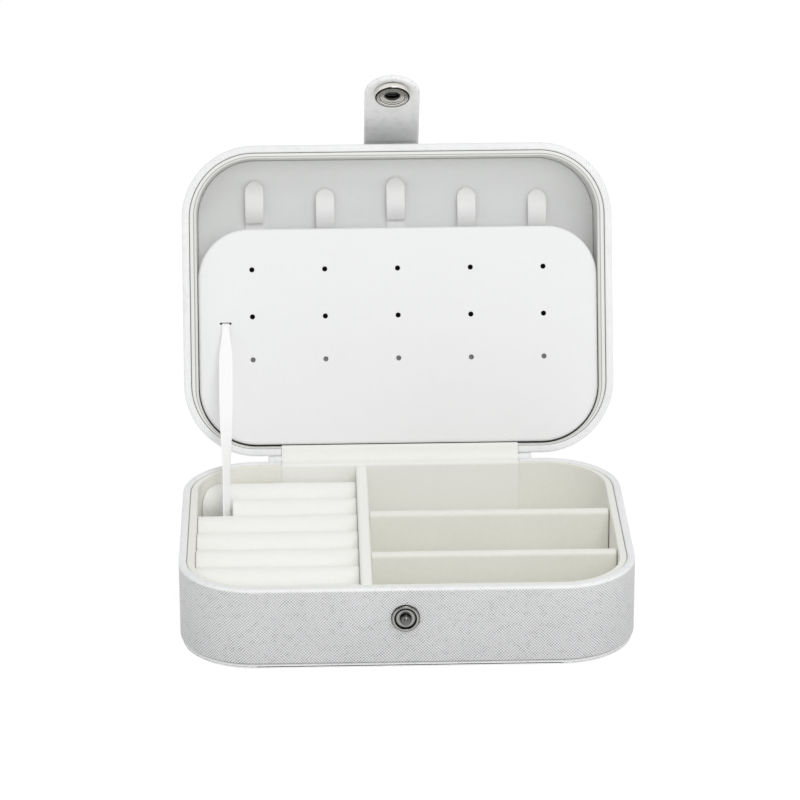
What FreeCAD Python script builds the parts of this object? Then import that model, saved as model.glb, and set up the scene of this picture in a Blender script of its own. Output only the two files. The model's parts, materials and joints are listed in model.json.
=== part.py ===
import FreeCAD, Part
import math
import os

# White travel jewelry box, lid open, in millimetres.
# X runs to the right, Y to the back and Z up. The origin is the middle of the underside.

V = FreeCAD.Vector
ACROSS = V(1, 0, 0)
BACKWARD = V(0, 1, 0)
UPWARD = V(0, 0, 1)

# Outside of the closed box
BOX_W = 160.0
BOX_D = 115.5
CORNER_R = 27.0
BASE_H = 30.4
LID_H = 25.0
RIM_GAP = 0.5
EDGE_R = 0.7

# Walls, from the outside inwards
LEATHER_T = 0.8
WALL_BOARD_T = 1.9
LINER_SIDE_T = 2.7
LINER_FRONT_T = 2.2
LINER_BACK_T = 0.8
LINER_DROP = 0.5
FIT = 0.05

# Cover plates under the base and on the lid, and the boards behind them
COVER_T = 1.8
COVER_INSET = 0.8
COVER_EDGE_R = 0.7
SHADOW_GAP = 0.5
SHADOW_INSET = 1.6
STIFF_BOARD_T = 1.7
PAD_T = 1.0

# Hinge along the back edge, and its inner cloth and outer leather strips
LID_OPEN = 110.0
HINGE_OUT = 1.1
CLOTH_T = 0.4
CLOTH_W = 88.0
CLOTH_EDGE = 0.3
CLOTH_DEPTH_BASE = 20.0
CLOTH_DEPTH_LID = 10.0
OUTER_LEAF_W = 98.0
OUTER_LEAF_H = 12.0
OUTER_LEAF_SETBACK = 0.1
OUTER_LEAF_R = 4.0

# Partitions in the base
DIVIDER_X = -14.5
DIVIDER_T = 4.1
CROSS_DIVIDER_YS = (14.2, -22.0)
CROSS_DIVIDER_DROP = 2.5
CROSS_DIVIDER_GAP = 0.3

# Ring rolls, rear to front
ROLL_COUNT = 7
ROLL_DROP = 4.6
ROLL_GAP = 0.3
ROLL_CLEAR = 0.3
ROLL_END_R = 1.2
RIBBON_ROLL = 1

# Lid ribbon, its slit in the earring board and its well beside the second roll
RIBBON_W = 5.2
RIBBON_T = 0.5
RIBBON_INSET = 10.4
RIBBON_WELL_EDGE = 2.6
RIBBON_WELL_FRONT = 3.8
RIBBON_BEND_DROP = 7.2
RIBBON_TWIST_TOP = 30.0
RIBBON_TWIST_LOW = 62.0
RIBBON_TOP_W = 3.6
RIBBON_CLEAR = 0.1
ANCHOR_T = 0.8
ANCHOR_W = 9.0
ANCHOR_L = 7.0

# Earring board, measured along the lid from its back edge
EARRING_BOARD_TOP = 84.5
EARRING_BOARD_T = 2.5
EARRING_BOARD_RECESS = 1.0
EARRING_BOARD_GAP = 0.3
EARRING_BOARD_TOP_R = 19.0
EARRING_BOARD_EDGE_R = 0.8
HOLE_D = 1.8
HOLE_EDGE = 20.4
HOLE_COLUMNS = 5
HOLE_ROWS = (35.9, 51.9, 69.4)
SLIT_AT = 49.5
SLIT_W = 6.4
SLIT_H = 1.2
FOAM_TOP = 42.0
FOAM_INSET = 6.0
FOAM_CORNER_R = 8.0

# Necklace tabs on the lid's back panel, each its own drop below the lid's front edge
TAB_COUNT = 5
TAB_EDGE = 21.4
TAB_W = 7.1
TAB_T = 0.9
TAB_L = 15.5
TAB_ARCH = 2.0
TAB_TOP_R = 3.4
TAB_END_R = 0.2
TAB_CLEAR = 0.3
TAB_DROPS = (12.9, 15.9, 12.1, 16.0, 17.1)
LOWER_TAB_T = 0.7
LOWER_TAB_LAP = 2.5

# Clasp strap
STRAP_W = 20.6
STRAP_T = 2.0
STRAP_INNER_T = 0.75
STRAP_CORE_T = 0.5
STRAP_CORE_INSET = 2.0
STRAP_OUT = 1.3
STRAP_TIP = 8.2
STRAP_REST = 32.5
STRAP_ROOT_L = 8.0

# Snap: stud on the base, socket and cap on the strap
CLASP_X = -1.3
STUD_Z = 19.1
STUD_R = 5.0
STUD_H = 0.9
STUD_DISH_H = 0.3
STUD_RING_R = 0.7
BALL_R = 1.9
BALL_OUT = 1.7
SHANK_R = 1.2
BACKING_R = 3.5
BACKING_T = 0.6
SOCKET_R = 6.5
SOCKET_H = 2.8
SOCKET_EDGE_R = 0.6
SOCKET_DISH_R = 4.4
SOCKET_DISH_H = 0.5
SOCKET_BORE_R = 2.6
SPRING_GROOVE_R = 3.2
SPRING_GROOVE_H = 0.9
SPRING_WIRE_R = 0.3
SPRING_ARC = 320.0
CAP_R = 6.4
CAP_EDGE_H = 0.5
CAP_H = 1.6
SNAP_GAP = 0.9

# Heights and lines that follow from the sizes above
WALL_T = LEATHER_T + WALL_BOARD_T
WRAP_FOOT = COVER_T + SHADOW_GAP
FLOOR = WRAP_FOOT + STIFF_BOARD_T
PAD_TOP = FLOOR + PAD_T
LID_RIM = BASE_H + RIM_GAP
LID_TOP = LID_RIM + LID_H
INNER_X = BOX_W / 2 - WALL_T - LINER_SIDE_T
INNER_FRONT = -BOX_D / 2 + WALL_T + LINER_FRONT_T
INNER_BACK = BOX_D / 2 - WALL_T - LINER_BACK_T
INNER_R = CORNER_R - WALL_T - LINER_SIDE_T
HINGE = V(0, BOX_D / 2 + HINGE_OUT, BASE_H + RIM_GAP / 2)
STRAP_AXIS = V(CLASP_X, -BOX_D / 2 - STRAP_OUT, LID_TOP - COVER_T - SHADOW_GAP / 2)
SNAP_DROP = STRAP_AXIS.z - STUD_Z
SNAP_ANGLE = math.asin((STUD_H + SNAP_GAP + SOCKET_H + STRAP_T / 2 - STRAP_OUT) / SNAP_DROP)
SOCKET_AT = SNAP_DROP * math.cos(SNAP_ANGLE) + (BALL_OUT - STRAP_OUT) * math.sin(SNAP_ANGLE)
STRAP_L = SOCKET_AT + STRAP_TIP
ROLL_PITCH = (INNER_BACK - CLOTH_T - INNER_FRONT - 2 * ROLL_CLEAR) / ROLL_COUNT
RIBBON_X = -INNER_X + RIBBON_INSET
HOLE_PITCH = 2 * (INNER_X - HOLE_EDGE) / (HOLE_COLUMNS - 1)
TAB_PITCH = 2 * (INNER_X - TAB_EDGE) / (TAB_COUNT - 1)


def base_level(depth):
    """Height of a plane that lies this far above the underside of the base."""
    return depth


def lid_level(depth):
    """Height, with the lid closed, of a plane that lies this far below the top of the lid."""
    return LID_TOP - depth


def along_lid(distance):
    """Y, with the lid closed, of a place this far from the lid's back edge."""
    return BOX_D / 2 - distance


def line(a, b):
    return Part.LineSegment(a, b).toShape()


def arc(a, b, c):
    return Part.Arc(a, b, c).toShape()


def box(x0, x1, y0, y1, z0, z1):
    low = V(min(x0, x1), min(y0, y1), min(z0, z1))
    return Part.makeBox(abs(x1 - x0), abs(y1 - y0), abs(z1 - z0), low)


def rounded_plate(x0, x1, y0, y1, front_r, back_r, z0, z1):
    """Plate with a rounded outline: front_r at the low Y corners, back_r at the high Y corners."""
    low = min(z0, z1)
    edges = []
    corners = (
        (x1, y0, front_r, -1, 1, V(x1 - front_r, y0, low), V(x1, y0 + front_r, low)),
        (x1, y1, back_r, -1, -1, V(x1, y1 - back_r, low), V(x1 - back_r, y1, low)),
        (x0, y1, back_r, 1, -1, V(x0 + back_r, y1, low), V(x0, y1 - back_r, low)),
        (x0, y0, front_r, 1, 1, V(x0, y0 + front_r, low), V(x0 + front_r, y0, low)),
    )
    inside = 1 - math.sqrt(0.5)
    for number, (x, y, r, to_x, to_y, start, end) in enumerate(corners):
        edges.append(line(corners[number - 1][6], start))
        edges.append(arc(start, V(x + to_x * r * inside, y + to_y * r * inside, low), end))
    return Part.Face(Part.Wire(edges)).extrude(V(0, 0, abs(z1 - z0)))


def plate(z0, z1, side, front=None, back=None):
    """Plate in the plan of the box, this far inside its outline at the sides, front and back."""
    front = side if front is None else front
    back = side if back is None else back
    r = CORNER_R - side
    x = BOX_W / 2 - side
    return rounded_plate(-x, x, -BOX_D / 2 + front, BOX_D / 2 - back, r, r, z0, z1)


def inner_plate(z0, z1, clear):
    """Plate in the plan of the space inside the liner, smaller all round by clear."""
    return plate(z0, z1, WALL_T + LINER_SIDE_T + clear, WALL_T + LINER_FRONT_T + clear,
                 WALL_T + LINER_BACK_T + clear)


def round_rims(shape, levels, radius):
    """Round every edge that lies flat at one of these heights."""
    edges = []
    for edge in shape.Edges:
        bounds = edge.BoundBox
        if bounds.ZLength < 1e-6 and any(abs(bounds.ZMin - z) < 1e-6 for z in levels):
            edges.append(edge)
    return shape.makeFillet(radius, edges)


def profile_along_x(points, x0, x1):
    """Prism along X over straight sided points, each given as Y and Z."""
    corners = [V(x0, y, z) for y, z in points]
    return Part.Face(Part.makePolygon(corners + corners[:1])).extrude(V(x1 - x0, 0, 0))


def turned(edges, angle=360.0):
    """Solid of revolution about Z from edges of a closed outline in the XZ plane."""
    return Part.Face(Part.Wire(edges)).revolve(V(0, 0, 0), UPWARD, angle)


def polyline(points):
    return [line(a, b) for a, b in zip(points, points[1:])]


def open_lid(shape):
    """Swing a piece that was made on the closed lid to where it is with the lid open."""
    shape.rotate(HINGE, ACROSS, -LID_OPEN)
    return shape


def swing_strap(shape):
    """Lift a piece that was made on the hanging strap to where the strap stands at rest."""
    shape.rotate(STRAP_AXIS, ACROSS, -STRAP_REST)
    return open_lid(shape)


# Shells, the same for the base and the lid

def make_cover(level):
    """Leather covered plate with rounded edges."""
    ends = (level(0), level(COVER_T))
    return round_rims(plate(*ends, COVER_INSET), ends, COVER_EDGE_R)


def make_stiff_board(level):
    """Board that fits inside the wall, with a ledge that holds the wall off the cover."""
    ledge = plate(level(COVER_T), level(WRAP_FOOT), SHADOW_INSET)
    panel = plate(level(WRAP_FOOT), level(FLOOR), WALL_T + FIT)
    return ledge.fuse(panel).removeSplitter()


def make_wall_board(level, height):
    """Bent board ring that fills the leather wrap."""
    ends = (level(WRAP_FOOT + LEATHER_T), level(height - LEATHER_T))
    return plate(*ends, LEATHER_T + FIT).cut(plate(*ends, WALL_T))


def cloth_recess(level, height):
    """Space for the cloth hinge strip across the back rim."""
    half = CLOTH_W / 2 + FIT
    return box(-half, half, INNER_BACK - CLOTH_T, BOX_D / 2 + EDGE_R,
               level(height - CLOTH_T), level(height + CLOTH_T))


def make_wrap(level, height):
    """Leather skin of C section: turned over the rim and under the foot of the wall."""
    foot = level(WRAP_FOOT)
    rim = level(height)
    skin = round_rims(plate(foot, rim, 0), (foot, rim), EDGE_R)
    core = plate(level(WRAP_FOOT + LEATHER_T), level(height - LEATHER_T), LEATHER_T)
    hollow = plate(foot, rim, WALL_T)
    return skin.cut(core).cut(hollow).cut(cloth_recess(level, height))


def make_liner(level, height):
    """Velour covered ring inside the wall."""
    ends = (level(FLOOR), level(height - LINER_DROP))
    ring = plate(*ends, WALL_T + FIT).cut(inner_plate(*ends, 0))
    return ring.cut(cloth_recess(level, height))


def make_pad(level):
    """Velour covered panel on the floor of a shell."""
    return inner_plate(level(FLOOR), level(PAD_TOP), FIT)


def make_cloth_leaf(level, height, depth):
    """Half of the cloth hinge: over the back rim and down the liner."""
    inner = INNER_BACK - CLOTH_T
    outer = BOX_D / 2 - CLOTH_EDGE
    points = (
        (inner, level(height - depth)),
        (INNER_BACK, level(height - depth)),
        (INNER_BACK, level(height - CLOTH_T)),
        (outer, level(height - CLOTH_T)),
        (outer, level(height)),
        (inner, level(height)),
    )
    return profile_along_x(points, -CLOTH_W / 2, CLOTH_W / 2)


def make_outer_leaf(level, height):
    """Half of the leather hinge strip on the back, with its far corners rounded."""
    half = OUTER_LEAF_W / 2
    near = level(height - OUTER_LEAF_SETBACK)
    far = level(height - OUTER_LEAF_H)
    back = BOX_D / 2
    toward = 1 if near > far else -1
    r = OUTER_LEAF_R
    inside = r * (1 - math.sqrt(0.5))
    edges = [
        line(V(-half, back, far + toward * r), V(-half, back, near)),
        line(V(-half, back, near), V(half, back, near)),
        line(V(half, back, near), V(half, back, far + toward * r)),
        arc(V(half, back, far + toward * r), V(half - inside, back, far + toward * inside),
            V(half - r, back, far)),
        line(V(half - r, back, far), V(-half + r, back, far)),
        arc(V(-half + r, back, far), V(-half + inside, back, far + toward * inside),
            V(-half, back, far + toward * r)),
    ]
    return Part.Face(Part.Wire(edges)).extrude(V(0, LEATHER_T, 0))


# Inside the base

def make_divider(x0, x1, y0, y1, top, lengthwise):
    """Partition with a full round top; lengthwise ones run front to back."""
    r = (x1 - x0 if lengthwise else y1 - y0) / 2
    if lengthwise:
        a, b, middle = V(x0, y0, PAD_TOP), V(x1, y0, PAD_TOP), V(x0 + r, y0, top)
        run = V(0, y1 - y0, 0)
    else:
        a, b, middle = V(x0, y0, PAD_TOP), V(x0, y1, PAD_TOP), V(x0, y0 + r, top)
        run = V(x1 - x0, 0, 0)
    rise = V(0, 0, top - r - PAD_TOP)
    edges = [line(a, b), line(b, b + rise), arc(b + rise, middle, a + rise), line(a + rise, a)]
    return Part.Face(Part.Wire(edges)).extrude(run)


def roll_back(number):
    """Y of the back of a ring roll."""
    return INNER_BACK - CLOTH_T - ROLL_CLEAR - number * ROLL_PITCH


def make_ring_roll(number):
    """Foam roll: upright sides, a half round crown, soft ends, cut to the liner's corners."""
    back = roll_back(number)
    front = back - ROLL_PITCH + ROLL_GAP
    r = (back - front) / 2
    crown = BASE_H - ROLL_DROP
    right = DIVIDER_X - DIVIDER_T / 2 - ROLL_CLEAR
    left = -INNER_X + ROLL_CLEAR
    if number == RIBBON_ROLL:
        left = RIBBON_X + RIBBON_WELL_EDGE
    a = V(left, front, PAD_TOP)
    b = V(left, back, PAD_TOP)
    rise = V(0, 0, crown - r - PAD_TOP)
    edges = [line(a, b), line(b, b + rise), arc(b + rise, V(left, back - r, crown), a + rise),
             line(a + rise, a)]
    roll = Part.Face(Part.Wire(edges)).extrude(V(right - left, 0, 0))
    roll = roll.common(inner_plate(PAD_TOP, BASE_H, ROLL_CLEAR)).Solids[0]
    ends = [right]
    if 0 < number < ROLL_COUNT - 1:
        ends.append(left)
    soft = []
    for edge in roll.Edges:
        bounds = edge.BoundBox
        if bounds.XLength < 1e-6 and bounds.ZLength > 1e-6:
            if any(abs(bounds.XMin - x) < 1e-6 for x in ends):
                soft.append(edge)
    return roll.makeFillet(ROLL_END_R, soft)


# Ribbon

def ribbon_section(centre, along, turn, width):
    """Rectangle across the ribbon, square to its run and turned about it from level."""
    run = V(along).normalize()
    wide = V(ACROSS).multiply(math.cos(math.radians(turn)))
    wide = wide + run.cross(ACROSS).multiply(math.sin(math.radians(turn)))
    thin = run.cross(wide).normalize()
    wide = wide.normalize().multiply(width / 2)
    thin = thin.multiply(RIBBON_T / 2)
    corners = [centre - wide - thin, centre + wide - thin, centre + wide + thin, centre - wide + thin]
    return Part.makePolygon(corners + corners[:1])


def ribbon_points():
    """Foot, bend and top of the ribbon's middle line, with the lid open."""
    foot = V(RIBBON_X, roll_back(RIBBON_ROLL + 1) + RIBBON_WELL_FRONT, PAD_TOP + ANCHOR_T)
    bend = V(foot.x, foot.y, BASE_H - RIBBON_BEND_DROP)
    face = LID_RIM + EARRING_BOARD_RECESS
    reach = RIBBON_T + RIBBON_TOP_W / 2 * math.sin(math.radians(RIBBON_TWIST_TOP))
    slit = Part.Vertex(V(RIBBON_X, along_lid(SLIT_AT), face - RIBBON_CLEAR - reach))
    top = open_lid(slit).Point
    return foot, bend, top


def make_ribbon():
    """Taut flat ribbon: up the well, over a bend and straight to the slit, with a half twist."""
    foot, bend, top = ribbon_points()
    sections = [
        ribbon_section(foot, bend - foot, RIBBON_TWIST_LOW, RIBBON_W),
        ribbon_section(bend, (top - bend).normalize() + UPWARD, RIBBON_TWIST_LOW, RIBBON_W),
        ribbon_section((bend + top) / 2, top - bend, (RIBBON_TWIST_LOW + RIBBON_TWIST_TOP) / 2,
                       RIBBON_W),
        ribbon_section(top, top - bend, RIBBON_TWIST_TOP, RIBBON_TOP_W),
    ]
    return Part.makeLoft(sections, True, True)


def make_ribbon_foot():
    """Glued foot of the ribbon on the floor of its well."""
    foot, _, _ = ribbon_points()
    x0 = -INNER_X + ROLL_CLEAR
    x1 = RIBBON_X + RIBBON_WELL_EDGE
    return box(x0, x1, foot.y - ANCHOR_L / 2, foot.y + ANCHOR_L / 2, PAD_TOP, PAD_TOP + ANCHOR_T)


def make_ribbon_end():
    """Sewn end of the ribbon: a neck in the slit and a patch behind the earring board."""
    face = LID_RIM + EARRING_BOARD_RECESS
    behind = face + EARRING_BOARD_T
    y = along_lid(SLIT_AT)
    neck = box(RIBBON_X - SLIT_W / 2 + FIT, RIBBON_X + SLIT_W / 2 - FIT,
               y - SLIT_H / 2 + FIT, y + SLIT_H / 2 - FIT, face, behind)
    patch = box(RIBBON_X - ANCHOR_W / 2, RIBBON_X + ANCHOR_W / 2,
                y - ANCHOR_L / 2, y + ANCHOR_L / 2, behind, behind + ANCHOR_T)
    return neck.fuse(patch)


# Inside the lid

def make_earring_board():
    """Board with rounded upper corners, rows of earring holes and the ribbon slit."""
    face = LID_RIM + EARRING_BOARD_RECESS
    behind = face + EARRING_BOARD_T
    x = INNER_X - EARRING_BOARD_GAP
    edge = INNER_BACK - CLOTH_T - EARRING_BOARD_GAP
    board = rounded_plate(-x, x, along_lid(EARRING_BOARD_TOP), edge, EARRING_BOARD_TOP_R,
                          INNER_R - EARRING_BOARD_GAP, face, behind)
    board = round_rims(board, (face,), EARRING_BOARD_EDGE_R)
    holes = []
    for row in HOLE_ROWS:
        for column in range(HOLE_COLUMNS):
            hole_x = (column - (HOLE_COLUMNS - 1) / 2) * HOLE_PITCH
            start = V(hole_x, along_lid(row), face)
            holes.append(Part.makeCylinder(HOLE_D / 2, EARRING_BOARD_T, start))
    y = along_lid(SLIT_AT)
    slit = box(RIBBON_X - SLIT_W / 2, RIBBON_X + SLIT_W / 2, y - SLIT_H / 2, y + SLIT_H / 2,
               face, behind)
    return board.cut(holes + [slit])


def make_board_foam():
    """Foam block that holds the earring board off the back panel."""
    x = INNER_X - FOAM_INSET
    return rounded_plate(-x, x, along_lid(FOAM_TOP), INNER_BACK - FOAM_INSET,
                         FOAM_CORNER_R, FOAM_CORNER_R,
                         LID_RIM + EARRING_BOARD_RECESS + EARRING_BOARD_T, lid_level(PAD_TOP))


def tab_x(number):
    return (number - (TAB_COUNT - 1) / 2) * TAB_PITCH


def tab_top(number):
    """Distance of a necklace tab's fixed end from the lid's back edge."""
    return BOX_D - TAB_DROPS[number]


def tab_axis(number):
    """Middle of the line that a necklace tab bends about, with the lid closed."""
    return V(tab_x(number), along_lid(tab_top(number) - TAB_T / 2),
             lid_level(PAD_TOP) - TAB_CLEAR - TAB_T / 2)


def make_necklace_tab(number):
    """Arched strip: a round nose at its fixed end, a bulge halfway, its free end near the lower tab."""
    axis = tab_axis(number)
    half = TAB_T / 2
    length = TAB_L - half
    panel = lid_level(PAD_TOP)
    end_z = panel - LOWER_TAB_T - TAB_CLEAR - half
    middle_z = axis.z - TAB_ARCH
    x0 = axis.x - TAB_W / 2

    def at(y, z):
        return V(x0, axis.y + y, z)

    edges = [
        arc(at(0, axis.z + half), at(length / 2, middle_z + half), at(length, end_z + half)),
        line(at(length, end_z + half), at(length, end_z - half)),
        arc(at(length, end_z - half), at(length / 2, middle_z - half), at(0, axis.z - half)),
        arc(at(0, axis.z - half), at(-half, axis.z), at(0, axis.z + half)),
    ]
    strip = Part.Face(Part.Wire(edges)).extrude(V(TAB_W, 0, 0))
    low = middle_z - TAB_T
    r = TAB_W / 2
    round_top = rounded_plate(axis.x - r, axis.x + r, axis.y - half, axis.y + length,
                              TAB_TOP_R, TAB_END_R, low, panel)
    return strip.common(round_top)


def make_lower_tab(number):
    """Flat lower half of a necklace tab, from under its free end down to the foam."""
    axis = tab_axis(number)
    top = tab_top(number) - TAB_L + LOWER_TAB_LAP
    panel = lid_level(PAD_TOP)
    return box(axis.x - TAB_W / 2, axis.x + TAB_W / 2, along_lid(top), along_lid(FOAM_TOP) - FIT,
               panel - LOWER_TAB_T, panel)


# Clasp strap, made hanging straight down on the closed lid

def strap_outline(inset, y, thickness):
    """Strap blank with a half round tip, from its axis down, smaller all round by inset."""
    r = STRAP_W / 2 - inset
    top = STRAP_AXIS.z - inset
    tip = STRAP_AXIS.z - STRAP_L + inset
    x = CLASP_X
    edges = [
        line(V(x - r, y, top), V(x + r, y, top)),
        line(V(x + r, y, top), V(x + r, y, tip + r)),
        arc(V(x + r, y, tip + r), V(x, y, tip), V(x - r, y, tip + r)),
        line(V(x - r, y, tip + r), V(x - r, y, top)),
    ]
    return Part.Face(Part.Wire(edges)).extrude(V(0, thickness, 0))


def strap_inside():
    """Y of the strap's inner face as it hangs."""
    return STRAP_AXIS.y + STRAP_T / 2


def strap_hole():
    """Hole through the strap for the shank of the cap."""
    start = V(CLASP_X, STRAP_AXIS.y - STRAP_T / 2, STRAP_AXIS.z - SOCKET_AT)
    return Part.makeCylinder(SHANK_R + FIT, STRAP_T, start, BACKWARD)


def make_strap_outer():
    """Outer leather with a pocket for the stiffener and a half round root."""
    outside = STRAP_AXIS.y - STRAP_T / 2
    thickness = STRAP_T - STRAP_INNER_T
    leather = strap_outline(0, outside, thickness)
    start = V(CLASP_X - STRAP_W / 2, STRAP_AXIS.y, STRAP_AXIS.z)
    root = Part.makeCylinder(STRAP_T / 2, STRAP_W, start, ACROSS)
    above = box(CLASP_X - STRAP_W, CLASP_X + STRAP_W, STRAP_AXIS.y - STRAP_T, STRAP_AXIS.y + STRAP_T,
                STRAP_AXIS.z, STRAP_AXIS.z + STRAP_T)
    pocket = strap_outline(STRAP_CORE_INSET, outside + thickness - STRAP_CORE_T, STRAP_CORE_T)
    return leather.fuse(root.common(above)).removeSplitter().cut(pocket).cut(strap_hole())


def make_strap_core():
    core_y = strap_inside() - STRAP_INNER_T - STRAP_CORE_T
    return strap_outline(STRAP_CORE_INSET + FIT, core_y, STRAP_CORE_T).cut(strap_hole())


def make_strap_inner():
    return strap_outline(0, strap_inside() - STRAP_INNER_T, STRAP_INNER_T).cut(strap_hole())


def make_strap_root():
    """End of the strap in the seam under the lid's top cover."""
    front = -BOX_D / 2
    return box(CLASP_X - STRAP_W / 2, CLASP_X + STRAP_W / 2, front, front + STRAP_ROOT_L,
               lid_level(COVER_T), lid_level(WRAP_FOOT))


def root_notch():
    """Notch in the ledge of the lid's board for the end of the strap."""
    front = -BOX_D / 2
    half = STRAP_W / 2 + FIT
    return box(CLASP_X - half, CLASP_X + half, front, front + STRAP_ROOT_L + FIT,
               lid_level(COVER_T), lid_level(WRAP_FOOT))


def on_strap(shape, y):
    """Turn a piece made about Z to stand out of the strap's inner side, from a face at y."""
    shape.rotate(V(0, 0, 0), ACROSS, -90)
    shape.translate(V(CLASP_X, y, STRAP_AXIS.z - SOCKET_AT))
    return shape


def make_snap_socket():
    """Puck with a dished face, a bore for the ball and a groove for the spring."""
    top = SOCKET_H
    e = SOCKET_EDGE_R
    inside = e * (1 - math.sqrt(0.5))
    groove = (top - SPRING_GROOVE_H) / 2
    rim_in = SOCKET_DISH_R + e
    outline = polyline([
        V(SOCKET_BORE_R, 0, 0), V(SOCKET_R - e, 0, 0), V(SOCKET_R, 0, e), V(SOCKET_R, 0, top - e)])
    outline.append(arc(V(SOCKET_R, 0, top - e), V(SOCKET_R - inside, 0, top - inside),
                       V(SOCKET_R - e, 0, top)))
    outline += polyline([
        V(SOCKET_R - e, 0, top), V(rim_in, 0, top), V(SOCKET_DISH_R, 0, top - SOCKET_DISH_H),
        V(SOCKET_BORE_R + e, 0, top - SOCKET_DISH_H), V(SOCKET_BORE_R, 0, top - SOCKET_DISH_H - e),
        V(SOCKET_BORE_R, 0, groove + SPRING_GROOVE_H), V(SPRING_GROOVE_R, 0, groove + SPRING_GROOVE_H),
        V(SPRING_GROOVE_R, 0, groove), V(SOCKET_BORE_R, 0, groove), V(SOCKET_BORE_R, 0, 0)])
    return on_strap(turned(outline), strap_inside())


def make_socket_spring():
    """Split ring of wire in the groove of the socket."""
    ring = Part.makeTorus(SPRING_GROOVE_R - SPRING_WIRE_R - FIT, SPRING_WIRE_R, V(0, 0, SOCKET_H / 2),
                          UPWARD, 0, 360, SPRING_ARC)
    return on_strap(ring, strap_inside())


def make_snap_cap():
    """Domed cap on the strap's outer side with a shank through the strap."""
    rise = CAP_H - CAP_EDGE_H
    dome_r = (CAP_R ** 2 + rise ** 2) / (2 * rise)
    part_way = CAP_R / 2
    part_rise = CAP_H - dome_r + math.sqrt(dome_r ** 2 - part_way ** 2)
    outline = polyline([V(0, 0, STRAP_T), V(SHANK_R, 0, STRAP_T), V(SHANK_R, 0, 0), V(CAP_R, 0, 0),
                        V(CAP_R, 0, -CAP_EDGE_H)])
    outline.append(arc(V(CAP_R, 0, -CAP_EDGE_H), V(part_way, 0, -part_rise), V(0, 0, -CAP_H)))
    outline.append(line(V(0, 0, -CAP_H), V(0, 0, STRAP_T)))
    return on_strap(turned(outline), STRAP_AXIS.y - STRAP_T / 2)


# Snap stud on the front of the base

def on_front(shape):
    """Turn a piece made about Z to stand out of the base's front, round the stud's middle."""
    shape.rotate(V(0, 0, 0), ACROSS, 90)
    shape.translate(V(CLASP_X, -BOX_D / 2, STUD_Z))
    return shape


def make_stud_plate():
    """Round plate with a raised ring and a dished middle."""
    ring_middle = STUD_R - STUD_RING_R
    outline = polyline([V(SHANK_R + FIT, 0, 0), V(STUD_R, 0, 0), V(STUD_R, 0, STUD_DISH_H)])
    outline.append(arc(V(STUD_R, 0, STUD_DISH_H), V(ring_middle, 0, STUD_H),
                       V(ring_middle - STUD_RING_R, 0, STUD_DISH_H)))
    outline += polyline([V(ring_middle - STUD_RING_R, 0, STUD_DISH_H), V(SHANK_R + FIT, 0, STUD_DISH_H),
                         V(SHANK_R + FIT, 0, 0)])
    return on_front(turned(outline))


def make_stud_ball():
    """Ball on a shank that goes through the plate, the wall and the washer behind it."""
    seat = STUD_DISH_H
    seat_r = math.sqrt(BALL_R ** 2 - (BALL_OUT - seat) ** 2)
    end = -WALL_T - BACKING_T
    outline = polyline([V(0, 0, end), V(SHANK_R, 0, end), V(SHANK_R, 0, seat), V(seat_r, 0, seat)])
    outline.append(arc(V(seat_r, 0, seat), V(BALL_R, 0, BALL_OUT), V(0, 0, BALL_OUT + BALL_R)))
    outline.append(line(V(0, 0, BALL_OUT + BALL_R), V(0, 0, end)))
    return on_front(turned(outline))


def make_stud_backing():
    """Washer that clamps the stud behind the wall."""
    washer = Part.makeCylinder(BACKING_R, BACKING_T, V(0, 0, -WALL_T - BACKING_T))
    hole = Part.makeCylinder(SHANK_R + FIT, BACKING_T, V(0, 0, -WALL_T - BACKING_T))
    return on_front(washer.cut(hole))


def stud_hole():
    """Hole for the shank through the leather and the wall board."""
    return on_front(Part.makeCylinder(SHANK_R + FIT, WALL_T + EDGE_R, V(0, 0, -WALL_T)))


def backing_recess():
    """Recess for the washer in the outside of the liner."""
    start = V(0, 0, -WALL_T - BACKING_T - FIT)
    return on_front(Part.makeCylinder(BACKING_R + FIT, BACKING_T + FIT, start))


def make_base():
    right = DIVIDER_X + DIVIDER_T / 2
    dividers = {
        "main_divider": make_divider(DIVIDER_X - DIVIDER_T / 2, right, INNER_FRONT + FIT,
                                     INNER_BACK - CLOTH_T - FIT, BASE_H - LINER_DROP, True)
    }
    for name, y in zip(("rear_cross_divider", "front_cross_divider"), CROSS_DIVIDER_YS):
        dividers[name] = make_divider(right + FIT, INNER_X - CROSS_DIVIDER_GAP, y - DIVIDER_T / 2,
                                      y + DIVIDER_T / 2, BASE_H - CROSS_DIVIDER_DROP, False)
    rolls = {f"ring_roll_{number + 1}": make_ring_roll(number) for number in range(ROLL_COUNT)}
    return {
        "bottom_cover": make_cover(base_level),
        "bottom_board": make_stiff_board(base_level),
        "base_wall_board": make_wall_board(base_level, BASE_H).cut(stud_hole()),
        "base_leather_wrap": make_wrap(base_level, BASE_H).cut(stud_hole()),
        "base_liner": make_liner(base_level, BASE_H).cut(backing_recess()),
        "base_floor_pad": make_pad(base_level),
        **dividers,
        **rolls,
        "stud_plate": make_stud_plate(),
        "stud_ball": make_stud_ball(),
        "stud_backing": make_stud_backing(),
        "hinge_base_leaf": make_cloth_leaf(base_level, BASE_H, CLOTH_DEPTH_BASE),
        "hinge_outer_base_leaf": make_outer_leaf(base_level, BASE_H),
        "ribbon_base_anchor": make_ribbon_foot(),
        "lid_ribbon": make_ribbon(),
    }


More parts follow.
